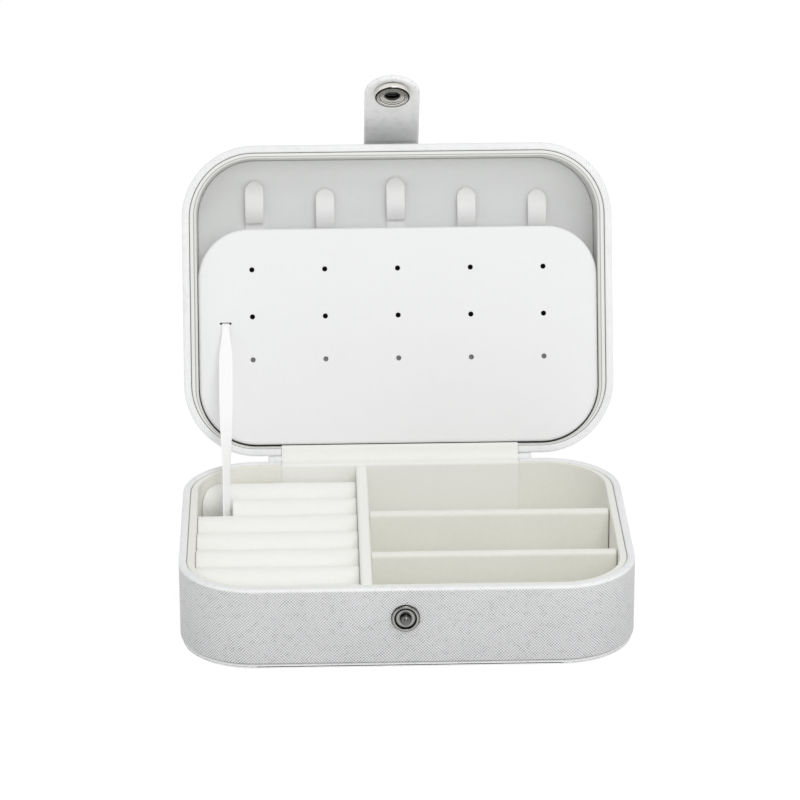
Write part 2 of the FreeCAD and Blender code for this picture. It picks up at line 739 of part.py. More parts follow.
def make_lid():
    pieces = {
        "top_cover": make_cover(lid_level),
        "top_board": make_stiff_board(lid_level).cut(root_notch()),
        "lid_wall_board": make_wall_board(lid_level, LID_H),
        "lid_leather_wrap": make_wrap(lid_level, LID_H),
        "lid_liner": make_liner(lid_level, LID_H),
        "lid_back_panel": make_pad(lid_level),
        "earring_board": make_earring_board(),
        "board_foam": make_board_foam(),
        "hinge_lid_leaf": make_cloth_leaf(lid_level, LID_H, CLOTH_DEPTH_LID),
        "hinge_outer_lid_leaf": make_outer_leaf(lid_level, LID_H),
        "strap_root": make_strap_root(),
        "ribbon_lid_anchor": make_ribbon_end(),
    }
    for number in range(TAB_COUNT):
        pieces[f"lower_tab_{number + 1}"] = make_lower_tab(number)
        pieces[f"necklace_tab_{number + 1}"] = make_necklace_tab(number)
    return {name: open_lid(shape) for name, shape in pieces.items()}


def make_clasp():
    pieces = {
        "strap_outer": make_strap_outer(),
        "strap_core": make_strap_core(),
        "strap_inner": make_strap_inner(),
        "snap_socket": make_snap_socket(),
        "socket_spring": make_socket_spring(),
        "snap_cap": make_snap_cap(),
    }
    return {name: swing_strap(shape) for name, shape in pieces.items()}


os.makedirs("parts", exist_ok=True)
for node, solid in {**make_base(), **make_lid(), **make_clasp()}.items():
    solid.exportStep(f"parts/{node}.step")
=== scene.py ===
import json
import math

import bmesh
import bpy
import numpy as np
from mathutils import Matrix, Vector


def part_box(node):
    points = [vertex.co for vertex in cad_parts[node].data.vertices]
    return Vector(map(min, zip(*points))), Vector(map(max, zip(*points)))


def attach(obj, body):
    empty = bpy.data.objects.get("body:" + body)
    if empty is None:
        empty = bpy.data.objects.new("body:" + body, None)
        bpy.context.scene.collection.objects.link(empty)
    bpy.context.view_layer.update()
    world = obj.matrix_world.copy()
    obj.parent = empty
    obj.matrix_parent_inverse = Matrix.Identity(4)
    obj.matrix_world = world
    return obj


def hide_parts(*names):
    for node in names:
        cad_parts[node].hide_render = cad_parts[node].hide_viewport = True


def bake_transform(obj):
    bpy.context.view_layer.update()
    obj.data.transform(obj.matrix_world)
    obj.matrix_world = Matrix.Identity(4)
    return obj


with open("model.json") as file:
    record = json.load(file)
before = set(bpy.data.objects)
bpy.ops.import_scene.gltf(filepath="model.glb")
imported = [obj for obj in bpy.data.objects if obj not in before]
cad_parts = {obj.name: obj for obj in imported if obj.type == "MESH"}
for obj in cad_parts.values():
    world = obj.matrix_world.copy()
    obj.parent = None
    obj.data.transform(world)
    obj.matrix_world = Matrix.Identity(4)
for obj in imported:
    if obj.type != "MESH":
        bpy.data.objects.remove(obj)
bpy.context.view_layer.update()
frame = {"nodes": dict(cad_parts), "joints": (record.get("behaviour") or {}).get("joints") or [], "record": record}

# Sizes in millimetres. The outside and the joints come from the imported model.
MM = 0.001
JOINTS = {joint["name"]: joint for joint in frame["joints"]}


def node_corners(node):
    """Lowest and highest corner of a node at rest, in millimetres."""
    return [np.array(corner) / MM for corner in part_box(node)]


def node_middle(node):
    """Middle and half sizes of a node at rest, in millimetres."""
    low, high = node_corners(node)
    return (high + low) / 2, (high - low) / 2


WRAP_LOW, WRAP_HIGH = node_corners("base_leather_wrap")
HALF_W, HALF_D, BASE_H = (float(size) for size in WRAP_HIGH)
WRAP_FOOT = float(WRAP_LOW[2])
HINGE = np.array(JOINTS["lid_hinge"]["pos_m"]) / MM
LID_OPEN = math.radians(JOINTS["lid_hinge"]["range_deg"][1])
LID_RIM = 2 * float(HINGE[2]) - BASE_H
LID_H = 25.0
LID_TOP = LID_RIM + LID_H
CORNER_R = 27.0
EDGE_R = 0.7
RIM_EDGE_R = EDGE_R + 0.3
FOOT_EDGE_R = 0.3
LEATHER_T = 0.8
# How stretched the leather is, and the band under the rim where it is smoother and paler; there the paler ground
# is partly painted light.
STRETCH = 0.8
COVER_STRETCH = 0.75
RIM_STRETCH_AND_LIGHT_H = 1.5
WALL_T = 2.7
FIT = 0.05
LINER_SIDE_T = 2.7
LINER_FRONT_T = 2.2
LINER_BACK_T = 0.8
LINER_DROP = 0.5
LINER_EDGE_R = 0.6
LINER_FOLD = 0.62
LINER_HOLD = 0.3
# Shares across the liner's top where its painted shade falls, and how dark it is past the fold.
LINER_SEAM_SHARES = (0.16, 0.04)
LINER_FOLD_SHARES = (0.1, 0.02)
PAST_FOLD_SHADE = 0.2
COVER_T = 1.8
COVER_INSET = 0.8
COVER_EDGE_R = 0.8
FLOOR = 4.0
PAD_TOP = 5.0
PAD_EDGE_R = 0.6
PAD_HOLD = 3.0
INNER_X = HALF_W - WALL_T - LINER_SIDE_T
INNER_FRONT = -HALF_D + WALL_T + LINER_FRONT_T
INNER_BACK = HALF_D - WALL_T - LINER_BACK_T
INNER_R = CORNER_R - WALL_T - LINER_SIDE_T

CLOTH_W = 88.0
CLOTH_T = 0.4
CLOTH_EDGE = 0.3
CLOTH_RIM_R = 0.8
CLOTH_FOLD_R = 1.0
CLOTH_THIN = 0.9
CLOTH_DEPTH_BASE = 20.0
CLOTH_DEPTH_LID = 10.0
OUTER_LEAF_W = 98.0
OUTER_LEAF_H = 12.0
OUTER_LEAF_R = 4.0
OUTER_LEAF_BEND = 0.4
OUTER_LEAF_THIN = 0.95

BOX_OUTLINE = (HALF_W, -HALF_D, HALF_D, CORNER_R, CORNER_R)
INNER_OUTLINE = (INNER_X, INNER_FRONT, INNER_BACK, INNER_R, INNER_R)


# Shapes

KNOTS = np.arange(10)


def outline(shape, phase, inset=0.0):
    """Rounded oblong: a circle of the corner radius, less an inset, carried round the corner centres.

    Phase runs from 0 at the middle of the back, by the left, front and right, to 9 at the back again.
    """
    half_x, front, back, front_r, back_r = shape
    far, near = half_x - back_r, half_x - front_r
    high, low = back - back_r, front + front_r
    centre_x = np.interp(phase, KNOTS, (0, -far, -far, -near, -near, near, near, far, far, 0))
    centre_y = np.interp(phase, KNOTS, (high, high, high, low, low, low, low, high, high, high))
    turn = np.interp(phase, KNOTS, (90, 90, 180, 180, 270, 270, 360, 360, 450, 450))
    radius = np.interp(phase, KNOTS, (back_r,) * 3 + (front_r,) * 4 + (back_r,) * 3) - inset
    turn = np.radians(turn)
    return centre_x + radius * np.cos(turn), centre_y + radius * np.sin(turn)


def phases(straight=10, corner=22, extra=()):
    """Phases round an outline, closer together on the corners, with a few extra ones."""
    counts = (straight, corner) * 4 + (straight,)
    runs = [np.linspace(k, k + 1, n, endpoint=False) for k, n in enumerate(counts)]
    return np.unique(np.concatenate(runs + [np.array(extra, float)]))


def unit(vectors):
    """Rows of vectors, each divided by its length."""
    return vectors / np.linalg.norm(vectors, axis=1)[:, None]


def parabola(start, corner, end, steps=7):
    """Curve from start to end that leaves and arrives along the lines to the corner.

    Start is weighted by one less t squared, the corner by twice t times one less t, the end by t squared.
    """
    start, corner, end = (np.array(place, float) for place in (start, corner, end))
    t = np.linspace(0, 1, steps)[:, None]
    return (1 - t) ** 2 * start + 2 * t * (1 - t) * corner + t ** 2 * end


def rounded(corners, radii, closed=True, steps=7, hold=0.25):
    """Line through corners, each one replaced by a parabola between points set back along its sides.

    A point a little before and after each parabola holds the flat runs flat.
    """
    corners = np.array(corners, float)
    back = unit(np.roll(corners, 1, 0) - corners)
    ahead = unit(np.roll(corners, -1, 0) - corners)
    pieces = []
    for k, (corner, radius) in enumerate(zip(corners, radii)):
        if radius == 0 or (not closed and k in (0, len(corners) - 1)):
            pieces.append(corner[None])
            continue
        start, end = corner + back[k] * radius, corner + ahead[k] * radius
        curve = parabola(start, corner, end, steps)
        pieces += [start[None] + back[k] * hold, curve, end[None] + ahead[k] * hold]
    return np.concatenate(pieces)


def distances(path):
    """How far along a path each of its points is."""
    return np.r_[0, np.cumsum(np.linalg.norm(np.diff(path, axis=0), axis=1))]


def places_on(path, stations):
    """Points at the given distances along a path."""
    along = distances(path)
    return np.stack([np.interp(stations, along, axis) for axis in path.T], -1)


def spaced(path, step):
    """The same line with points about one step apart."""
    length = distances(path)[-1]
    return places_on(path, np.linspace(0, length, max(2, int(length / step) + 1)))


def smoothstep(low, high, value):
    """0 at low and 1 at high, with three t squared less two t cubed between."""
    t = np.clip((value - low) / (high - low), 0, 1)
    return t * t * (3 - 2 * t)


def grid(u, v):
    """Every pair of a u and a v, with u along the first axis."""
    return np.meshgrid(u, v, indexing="ij")


def ring(shape, profile, round_phases):
    """Profile of insets and heights carried round an outline."""
    phase, inset = grid(round_phases, profile[:, 0])
    x, y = outline(shape, phase, inset)
    return np.stack([x, y, np.broadcast_to(profile[:, 1], x.shape)], -1)


def between(outer, outer_inset, inner, profile, round_phases):
    """Profile of shares and heights carried round between two outlines, share 0 on the outer one."""
    phase, share = grid(round_phases, profile[:, 0])
    x0, y0 = outline(outer, phase, outer_inset)
    x1, y1 = outline(inner, phase)
    x, y = x0 + share * (x1 - x0), y0 + share * (y1 - y0)
    return np.stack([x, y, np.broadcast_to(profile[:, 1], x.shape)], -1)


def flat_section(across, edge):
    """Shares of the flat, of a round edge's reach and of its rise, once round an oblong section."""
    round_edge = np.radians(np.linspace(-90, 90, edge))
    run = np.linspace(1, -1, across)[1:-1]
    flat_share = np.r_[np.ones(edge), run, -np.ones(edge), -run][None]
    out_share = np.r_[np.cos(round_edge), 0 * run, -np.cos(round_edge), 0 * run][None]
    up_share = np.r_[np.sin(round_edge), 0 * run + 1, np.sin(round_edge)[::-1], 0 * run - 1][None]
    return flat_share, out_share, up_share


def strip(path, half_width, thickness, middle_x=0.0, across=25):
    """Flat strip: an oblong section with round edges, carried along a path of Y and Z.

    Half width and thickness may differ from place to place along the path.
    """
    count = len(path)
    half = np.broadcast_to(np.asarray(thickness, float), count)[:, None] / 2
    width = np.broadcast_to(np.asarray(half_width, float), count)[:, None] - half
    flat_share, out_share, up_share = flat_section(across, 7)
    along = unit(np.gradient(path, axis=0))
    x = middle_x + flat_share * np.maximum(width, 0) + out_share * half
    up = up_share * half
    y = path[:, :1] - along[:, 1:] * up
    z = path[:, 1:] + along[:, :1] * up
    return np.stack(np.broadcast_arrays(x, y, z), -1)


def path_length(path):
    """Sum of the lengths of a path's runs."""
    return float(np.linalg.norm(np.diff(path, axis=0), axis=1).sum())


def turn_about_x(points, centre, angle):
    """Points turned about a line along X through centre."""
    y, z = points[..., 1] - centre[1], points[..., 2] - centre[2]
    c, s = math.cos(angle), math.sin(angle)
    return np.stack([points[..., 0], centre[1] + c * y - s * z, centre[2] + s * y + c * z], -1)


def open_lid(points):
    """Places on the closed lid, turned to where they are with the lid open."""
    return turn_about_x(points, HINGE, -LID_OPEN)


def base_side(points):
    """Heights measured up from the underside of the base, so the points stay as they are."""
    return points


def lid_side(points):
    """Heights measured down from the top of the closed lid, with the lid then opened."""
    return open_lid(points * (1, 1, -1) + (0, 0, LID_TOP))


# Clasp lines: the strap hangs from its axis, and the socket's axis is square to the strap

CLASP_X = -1.3
STRAP_OUT = 1.3
STRAP_BELOW_TOP = 2.05
STRAP_REST = math.radians(32.5)
STRAP_AXIS = np.array((CLASP_X, -HALF_D - STRAP_OUT, LID_TOP - STRAP_BELOW_TOP))
STRAP_DOWN = np.array((0, -math.sin(STRAP_REST), -math.cos(STRAP_REST)))
SOCKET_DROP = 34.5
STUD_Z = 19.1
STUD_AT = (CLASP_X, -HALF_D, STUD_Z)
SOCKET_BORE = 2.9
RING_PITCH = 0.75
RING_EDGE = 0.15
SOCKET_LINE = STRAP_AXIS + STRAP_DOWN * SOCKET_DROP + np.array(
    ((0, 0, 0), (0, math.cos(STRAP_REST), -math.sin(STRAP_REST))))
SOCKET_MIDDLE, SOCKET_FAR = open_lid(SOCKET_LINE)
SOCKET_AXIS = SOCKET_FAR - SOCKET_MIDDLE


# Meshes

SURFACE_MAP = "surface_mm"
SHARP_FROM = math.radians(50)


def lengths(points, axis, closed):
    """Distance along one axis of a grid of points, averaged over the other axis."""
    if closed:
        points = np.concatenate([points, np.take(points, [0], axis)], axis)
    steps = np.linalg.norm(np.diff(points, axis=axis), axis=-1)
    return np.r_[0, np.cumsum(steps.mean(1 - axis))]


def in_plane(points):
    """Places of a flat ring of points along the two directions in which it spreads most."""
    offset = points - points.mean(0)
    return offset @ np.linalg.svd(offset, full_matrices=False)[2][:2].T


def mesh_of(name, points, closed_u, closed_v, caps=(), values=None):
    """Quads over a grid of points in millimetres, with flat caps over the ends that caps names.

    The map gives each place's distance along the grid's two ways, and on a cap along its own two axes.
    """
    n_u, n_v = points.shape[:2]
    index = np.arange(n_u * n_v).reshape(n_u, n_v)
    u, v = grid(np.arange(n_u if closed_u else n_u - 1), np.arange(n_v if closed_v else n_v - 1))
    corners = [(u, v), (u + 1, v), (u + 1, v + 1), (u, v + 1)]
    quads = np.stack([index[a % n_u, b % n_v] for a, b in corners], -1).reshape(-1, 4)
    along_u, along_v = lengths(points, 0, closed_u), lengths(points, 1, closed_v)
    places = np.stack([np.stack([along_u[a], along_v[b]], -1) for a, b in corners], -2).reshape(-1, 2)
    flat = points.reshape(-1, 3)
    ends = {"u0": index[0], "u1": index[-1], "v0": index[:, 0], "v1": index[:, -1]}
    cap_faces = [ends[cap] for cap in caps]
    places = np.concatenate([places] + [in_plane(flat[face]) for face in cap_faces])
    mesh = bpy.data.meshes.new(name)
    mesh.from_pydata((flat * MM).tolist(), [], quads.tolist() + [face.tolist() for face in cap_faces])
    mesh.uv_layers.new(name=SURFACE_MAP).data.foreach_set("uv", places.astype(np.float32).ravel())
    for key, value in (values or {}).items():
        attribute = mesh.attributes.new(key, "FLOAT", "POINT")
        attribute.data.foreach_set("value", value.astype(np.float32).ravel())
    tidy = bmesh.new()
    tidy.from_mesh(mesh)
    bmesh.ops.recalc_face_normals(tidy, faces=tidy.faces)
    tidy.to_mesh(mesh)
    tidy.free()
    mesh.shade_smooth()
    mesh.set_sharp_from_angle(angle=SHARP_FROM)
    return mesh


def capped_tube(name, points, values=None):
    """Mesh of sections, each closed on itself, with a cap at both ends."""
    return mesh_of(name, points, False, True, ("u0", "u1"), values)


def in_scene(name, data):
    """New object in the scene, at the origin."""
    thing = bpy.data.objects.new(name, data)
    bpy.context.scene.collection.objects.link(thing)
    return thing


def add_piece(name, mesh, finish, body, nodes):
    """Object of a mesh, on its body where that is one name, else only set in place, standing for its nodes."""
    piece = in_scene(name, mesh)
    mesh.materials.append(finish)
    if isinstance(body, str):
        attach(piece, body)
    else:
        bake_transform(piece)
    if nodes:
        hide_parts(*nodes)
    return piece


# Finishes, with pitches and places in millimetres

GRAIN_PITCH = 1.08
WHOLE_TURN = 2 * math.pi


class Wire:
    """A socket of a material. Arithmetic on it adds Math nodes, and add puts in any other node.

    Settings are the node's own, set first, and sockets are values or links by name or number.
    """

    def __init__(self, socket):
        self.socket = socket

    def add(self, kind, settings=None, sockets=None, out=0):
        tree = self.socket.id_data
        node = tree.nodes.new(kind)
        for key, value in (settings or {}).items():
            setattr(node, key, value)
        for key, value in (sockets or {}).items():
            if isinstance(value, Wire):
                tree.links.new(value.socket, node.inputs[key])
            else:
                node.inputs[key].default_value = value
        return Wire(node.outputs[out])

    def math(self, operation, *values):
        return self.add("ShaderNodeMath", {"operation": operation}, dict(enumerate(values)))

    def __add__(self, other):
        return self.math("ADD", self, other)

    def __sub__(self, other):
        return self.math("SUBTRACT", self, other)

    def __rsub__(self, other):
        return self.math("SUBTRACT", other, self)

    def __mul__(self, other):
        return self.math("MULTIPLY", self, other)

    def sin(self):
        return self.math("SINE", self)

    def step(self, low, high):
        """0 below low, 1 above high and smooth between."""
        ranges = {"Value": self, "From Min": low, "From Max": high}
        return self.add("ShaderNodeMapRange", {"interpolation_type": "SMOOTHSTEP"}, ranges)

    def mix(self, low, high):
        """Colour that goes from low to high as this value goes from 0 to 1."""
        return self.add("ShaderNodeMix", {"data_type": "RGBA"}, {0: self, 6: low, 7: high}, 2)

    def noise(self, scale, detail=2.0, roughness=0.5):
        """Noise over this place, with scale in waves to the millimetre."""
        sockets = {"Vector": self, "Scale": scale, "Detail": detail, "Roughness": roughness}
        return self.add("ShaderNodeTexNoise", {}, sockets)

    def vector(self, operation, values, out=0):
        return self.add("ShaderNodeVectorMath", {"operation": operation}, values, out)

    def attribute(self, name):
        """The piece's own value of this name, 0 where it has none."""
        return self.add("ShaderNodeAttribute", {"attribute_name": name}, {}, 2)

    def axes(self):
        return [self.add("ShaderNodeSeparateXYZ", {}, {"Vector": self}, k) for k in range(3)]

    __radd__ = __add__
    __rmul__ = __mul__


def new_finish(name, **constants):
    """Material with its constant sockets set, and the wire that other nodes start from."""
    finish = bpy.data.materials.new(name)
    finish.use_nodes = True
    shader = finish.node_tree.nodes["Principled BSDF"]
    for key, value in constants.items():
        shader.inputs[key.replace("_", " ")].default_value = value
    return finish, Wire(shader.outputs[0])


def place_in_piece(start):
    """Object coordinates in millimetres."""
    place = start.add("ShaderNodeTexCoord", {}, {}, 3)
    return place.vector("SCALE", {0: place, "Scale": 1 / MM})


def place_on_surface(start):
    """The piece's own map, in millimetres."""
    return start.add("ShaderNodeUVMap", {"uv_map": SURFACE_MAP})


def dress(finish, colour, roughness, height, depth, strength):
    """Feed a finish with its colour, roughness and relief; depth is the relief's height in mm."""
    tree = finish.node_tree
    shader = tree.nodes["Principled BSDF"]
    relief = {"Height": height, "Distance": depth * MM, "Strength": strength}
    normal = height.add("ShaderNodeBump", {}, relief)
    tree.links.new(colour.socket, shader.inputs["Base Color"])
    tree.links.new(roughness.socket, shader.inputs["Roughness"])
    tree.links.new(normal.socket, shader.inputs["Normal"])
    return finish


def tone(red, green, blue):
    """Opaque colour."""
    return (red, green, blue, 1.0)


def grey(level):
    """Opaque colour with all three parts alike."""
    return tone(level, level, level)


def cross_grain_leather(name, ground_tone, groove_shade_tone):
    """White coated leather: two sets of fine slanting grooves, stronger by turns from patch to patch.

    The grooves darken the colour, painted shade, and where two grooves meet some of the pits are painted
    near black, painted shade too. A piece's stretch values, where it has them, smooth the grain and
    lighten the ground, partly the smoother leather's own paleness and, on the rim's band, painted light.
    """
    finish, start = new_finish(name, IOR=1.46)
    place = place_on_surface(start)
    u, v, _ = place.axes()
    wander = (place.noise(0.3, 2.0) - 0.5) * 3.0
    jitter = (place.noise(0.7, 1.0) - 0.5) * 2.2
    turns = WHOLE_TURN / GRAIN_PITCH
    rising = ((u + v) * turns + wander + jitter).sin().step(-0.5, 0.9)
    falling = ((u - v) * turns + wander - jitter).sin().step(-0.5, 0.9)
    patch = place.noise(0.35, 2.0).step(0.4, 0.6)
    grain = place.noise(2.4, 2.0)
    stretch_and_light = start.attribute("stretch_and_light")
    # Painted shade: the grooves darken the colour, one set more than the other by turns.
    groove = (rising * (0.36 + patch * 0.48) + falling * (0.84 - patch * 0.48)) * (1.0 - stretch_and_light)
    height = 1.0 - groove * 0.6 + grain * 0.4
    cloud = place.noise(0.05, 2.0)
    # Painted shade: near-black pits where the grooves cross.
    pit_shade = rising * falling * place.noise(0.4, 3.0, 0.7).step(0.53, 0.6)
    shade = groove * 0.75 + grain * 0.4 + cloud * 0.2 - 0.25
    # The ground lightens with stretch: partly the smoother leather's own paleness, on the rim's band painted
    # light.
    ground = stretch_and_light.mix(ground_tone, grey(0.95))
    colour = shade.mix(ground, groove_shade_tone)
    colour = (pit_shade * (0.9 - stretch_and_light * 0.75)).mix(colour, tone(0.09, 0.09, 0.095))
    roughness = 0.42 + grain * 0.2
    return dress(finish, colour, roughness, height, 0.12, 0.5)


def pile_fabric(name, light, shade, nap, depth):
    """Short pile: fine nap, slow changes where the pile lies another way, and a soft edge sheen.

    A piece's shade values, where it has them, paint shade into its holes, seams and folds.
    """
    finish, start = new_finish(name, Sheen_Weight=0.2, Sheen_Roughness=0.5, Specular_IOR_Level=0.15)
    place = place_in_piece(start)
    fine = place.noise(nap, 2.0, 0.6)
    tuft = place.noise(nap * 0.3, 2.0)
    lay = place.noise(0.05, 2.0)
    colour = (fine * 0.45 + tuft * 0.3 + lay * 0.35 - 0.05).mix(shade, light)
    painted_shade = start.attribute("painted_shade")
    # Painted shade: darker towards black where the piece's shade values are high.
    colour = painted_shade.mix(colour, grey(0.01))
    roughness = 0.86 + fine * 0.12
    return dress(finish, colour, roughness, fine + tuft * 0.6, depth, 0.5)


def woven_satin(name, thread, light, shade):
    """Satin weave: long floats across, fine threads along, on the strip's own map."""
    finish, start = new_finish(name, Sheen_Weight=0.15, Sheen_Roughness=0.4, Specular_IOR_Level=0.35)
    place = place_on_surface(start)
    u, v, _ = place.axes()
    wander = place.noise(0.8, 1.0)
    weft = (u * (WHOLE_TURN / thread) + wander * 2.0).sin()
    warp = (v * (WHOLE_TURN / thread) + wander * 2.0).sin()
    height = weft * 0.6 + warp * 0.4
    colour = (height * 0.25 + 0.5 + wander * 0.3).mix(shade, light)
    roughness = 0.5 + wander * 0.14
    return dress(finish, colour, roughness, height, 0.04, 0.4)


def pressed_board():
    """Board: matted fibres and small dark flecks on a near-black ground, painted shade for the seams."""
    finish, start = new_finish("pressed_board_painted_seam_shade", Specular_IOR_Level=0.2)
    place = place_in_piece(start)
    fibre = place.noise(1.5, 4.0, 0.7)
    fleck = place.noise(3.5, 1.0).step(0.62, 0.72)
    # Painted shade: the near-black ground makes the seam gaps, where the board shows, read dark.
    colour = fibre.mix(grey(0.06), tone(0.14, 0.135, 0.13))
    colour = (fleck * 0.5).mix(colour, grey(0.03))
    return dress(finish, colour, 0.85 + fibre * 0.1, fibre, 0.1, 0.5)


def plated_metal(name, bright, worn, rough):
    """Plated metal: faint swirl marks, and duller patches where it is handled."""
    finish, start = new_finish(name, Metallic=1.0)
    place = place_in_piece(start)
    swirl = place.noise(6.0, 3.0, 0.7)
    dull = place.noise(0.5, 2.0).step(0.4, 0.75)
    colour = (dull * 0.6 + swirl * 0.2).mix(bright, worn)
    return dress(finish, colour, rough + dull * 0.08 + swirl * 0.06, swirl, 0.01, 0.3)


def turned_metal(name, centre, axis, bright, painted_dark_rings, bore=0.0):
    """Pressed nickel: fine rings about the press's axis, and painted dark rings at the radii given.

    The radius is the length of the cross product of the axis with the place from the centre. The dark
    rings are painted shade and painted dark reflection. Inside the radius of the bore, on the axis's
    positive side, the metal is painted dark: painted shade.
    """
    finish, start = new_finish(name, Metallic=1.0)
    place = place_in_piece(start)
    offset = place.vector("SUBTRACT", {0: place, 1: tuple(centre)})
    across = place.vector("CROSS_PRODUCT", {0: offset, 1: tuple(axis)})
    radius = place.vector("LENGTH", {0: across}, 1)
    depth = place.vector("DOT_PRODUCT", {0: offset, 1: tuple(axis)}, 1)
    swirl = place.noise(3.0, 3.0, 0.7)
    lines = (radius * (WHOLE_TURN / RING_PITCH) + swirl * 2.0).sin().step(0.1, 0.9)
    # Painted shade inside the bore.
    bore_painted_shade = depth.step(0.0, 0.3) * (1.0 - radius.step(bore - 0.1, bore))
    dark = lines * 0.4 + swirl * 0.2 + bore_painted_shade
    # Painted dark rings: shade in the crevices and dark reflections.
    for low, high in painted_dark_rings:
        dark = dark + radius.step(low, low + RING_EDGE) * (1.0 - radius.step(high - RING_EDGE, high))
    dark = dark.math("MINIMUM", dark, 1.0)
    colour = dark.mix(bright, grey(0.015))
    return dress(finish, colour, 0.10 + dark * 0.15, 1.0 - lines, 0.05, 0.5)


LEATHER = cross_grain_leather("white_cross_grain_leather",
                              tone(0.725, 0.725, 0.73), tone(0.28, 0.28, 0.285))
# The strap's paler copy of the leather: partly its own smoother, whiter finish, partly painted light.
STRAP_LIT_LEATHER = cross_grain_leather("strap_leather_with_painted_light", tone(0.97, 0.97, 0.965), tone(0.62, 0.62, 0.615))
LINER_PILE = pile_fabric("liner_velour", tone(0.88, 0.875, 0.82), tone(0.77, 0.765, 0.70), 1.6, 0.12)
LID_LINER_PILE = pile_fabric("lid_liner_velour",
                             tone(0.82, 0.82, 0.795), tone(0.74, 0.74, 0.71), 1.6, 0.10)
PANEL_PILE = pile_fabric("panel_velour", tone(0.88, 0.885, 0.88), tone(0.80, 0.81, 0.80), 1.6, 0.08)
BOARD_PILE = pile_fabric("board_velour", grey(0.85), grey(0.80), 2.2, 0.05)
ROLL_PLUSH = pile_fabric("roll_plush", tone(0.925, 0.92, 0.89), tone(0.845, 0.84, 0.81), 1.1, 0.16)
TAB_PILE = pile_fabric("tab_velour", tone(0.95, 0.95, 0.94), tone(0.88, 0.88, 0.87), 2.0, 0.06)
DIVIDER_PILE = pile_fabric("divider_velour",
                           tone(0.93, 0.925, 0.885), tone(0.84, 0.835, 0.79), 1.6, 0.12)
SATIN = woven_satin("white_satin", 0.5, tone(0.95, 0.95, 0.945), tone(0.87, 0.87, 0.86))
CLOTH = woven_satin("hinge_cloth", 0.4, tone(0.895, 0.893, 0.855), tone(0.80, 0.797, 0.75))
CARD = pressed_board()
NICKEL = plated_metal("bright_nickel", tone(0.62, 0.60, 0.56), tone(0.46, 0.445, 0.41), 0.10)
STEEL = plated_metal("spring_steel", tone(0.22, 0.22, 0.215), grey(0.12), 0.3)
# Painted reflection: the socket's and cap's bright tone, the stud's darker one and the ball's near-black one stand
# in for the reflections each shows.
TURNED_PAINTED_BRIGHT = tone(0.86, 0.845, 0.78)
STUD_NICKEL = turned_metal("stud_nickel", STUD_AT, (0, 1, 0), tone(0.42, 0.42, 0.40),
                           ((1.5, 2.2), (3.2, 3.9), (4.7, 6.0)))
BALL_NICKEL = plated_metal("ball_nickel_painted_dark", tone(0.17, 0.17, 0.168), tone(0.11, 0.11, 0.108), 0.03)
SOCKET_NICKEL = turned_metal("socket_nickel", SOCKET_MIDDLE, SOCKET_AXIS, TURNED_PAINTED_BRIGHT,
                             ((4.5, 4.8), (5.75, 6.5)), SOCKET_BORE)
CAP_NICKEL = turned_metal("cap_nickel", SOCKET_MIDDLE, SOCKET_AXIS, TURNED_PAINTED_BRIGHT,
                          ((6.1, 8.0),), SOCKET_BORE)

SLOT_FINISHES = {
    "nickel": NICKEL, "spring_steel": STEEL, "grey_board": CARD, "white_leather": LEATHER,
    "velour": LINER_PILE, "plush_foam": ROLL_PLUSH, "board_velour": BOARD_PILE, "tab_fabric": TAB_PILE,
    "satin": SATIN,
}
NODE_FINISHES = {
    "stud_plate": STUD_NICKEL, "stud_ball": BALL_NICKEL,
    "snap_socket": SOCKET_NICKEL, "snap_cap": CAP_NICKEL,
}
for subpart in frame["record"]["subparts"]:
    finish = NODE_FINISHES.get(subpart["node"], SLOT_FINISHES[subpart["material_slot"]])
    for material_slot in frame["nodes"][subpart["node"]].material_slots:
        material_slot.material = finish


# Shells of the base and the lid

CLOTH_EDGE_PHASE = (CLOTH_W / 2) / (HALF_W - CORNER_R)
CLOTH_STEP = 0.006
# How dark the painted shade is in the liners' seams and fold lines.
BASE_SEAM_SHADE = 0.3
BASE_FOLD_SHADE = 0.0
LID_SEAM_SHADE = 0.6
LID_FOLD_SHADE = 0.55
ROUND_PHASES = phases(extra=(CLOTH_EDGE_PHASE, CLOTH_EDGE_PHASE + CLOTH_STEP,
                             9 - CLOTH_EDGE_PHASE, 9 - CLOTH_EDGE_PHASE - CLOTH_STEP))


def leather_wrap(height):
    """Leather turned over the rim and under the foot: a C section carried round the box.

    The rim dips by the cloth's thickness where the hinge cloth crosses it.
    """
    profile = rounded(
        [(0, WRAP_FOOT), (0, height), (WALL_T, height), (WALL_T, height - LEATHER_T),
         (LEATHER_T, height - LEATHER_T), (LEATHER_T, WRAP_FOOT + LEATHER_T),
         (WALL_T, WRAP_FOOT + LEATHER_T), (WALL_T, WRAP_FOOT)],
        (EDGE_R, RIM_EDGE_R, EDGE_R, 0, 0, 0, 0, FOOT_EDGE_R))
    points = ring(BOX_OUTLINE, profile, ROUND_PHASES)
    half = CLOTH_W / 2
    under_cloth = (np.abs(points[..., 0]) < half + FIT) & (points[..., 1] > 0)
    on_rim = points[..., 2] > height - LEATHER_T / 2
    points[..., 2] -= np.where(under_cloth & on_rim, CLOTH_T + FIT, 0)
    return points


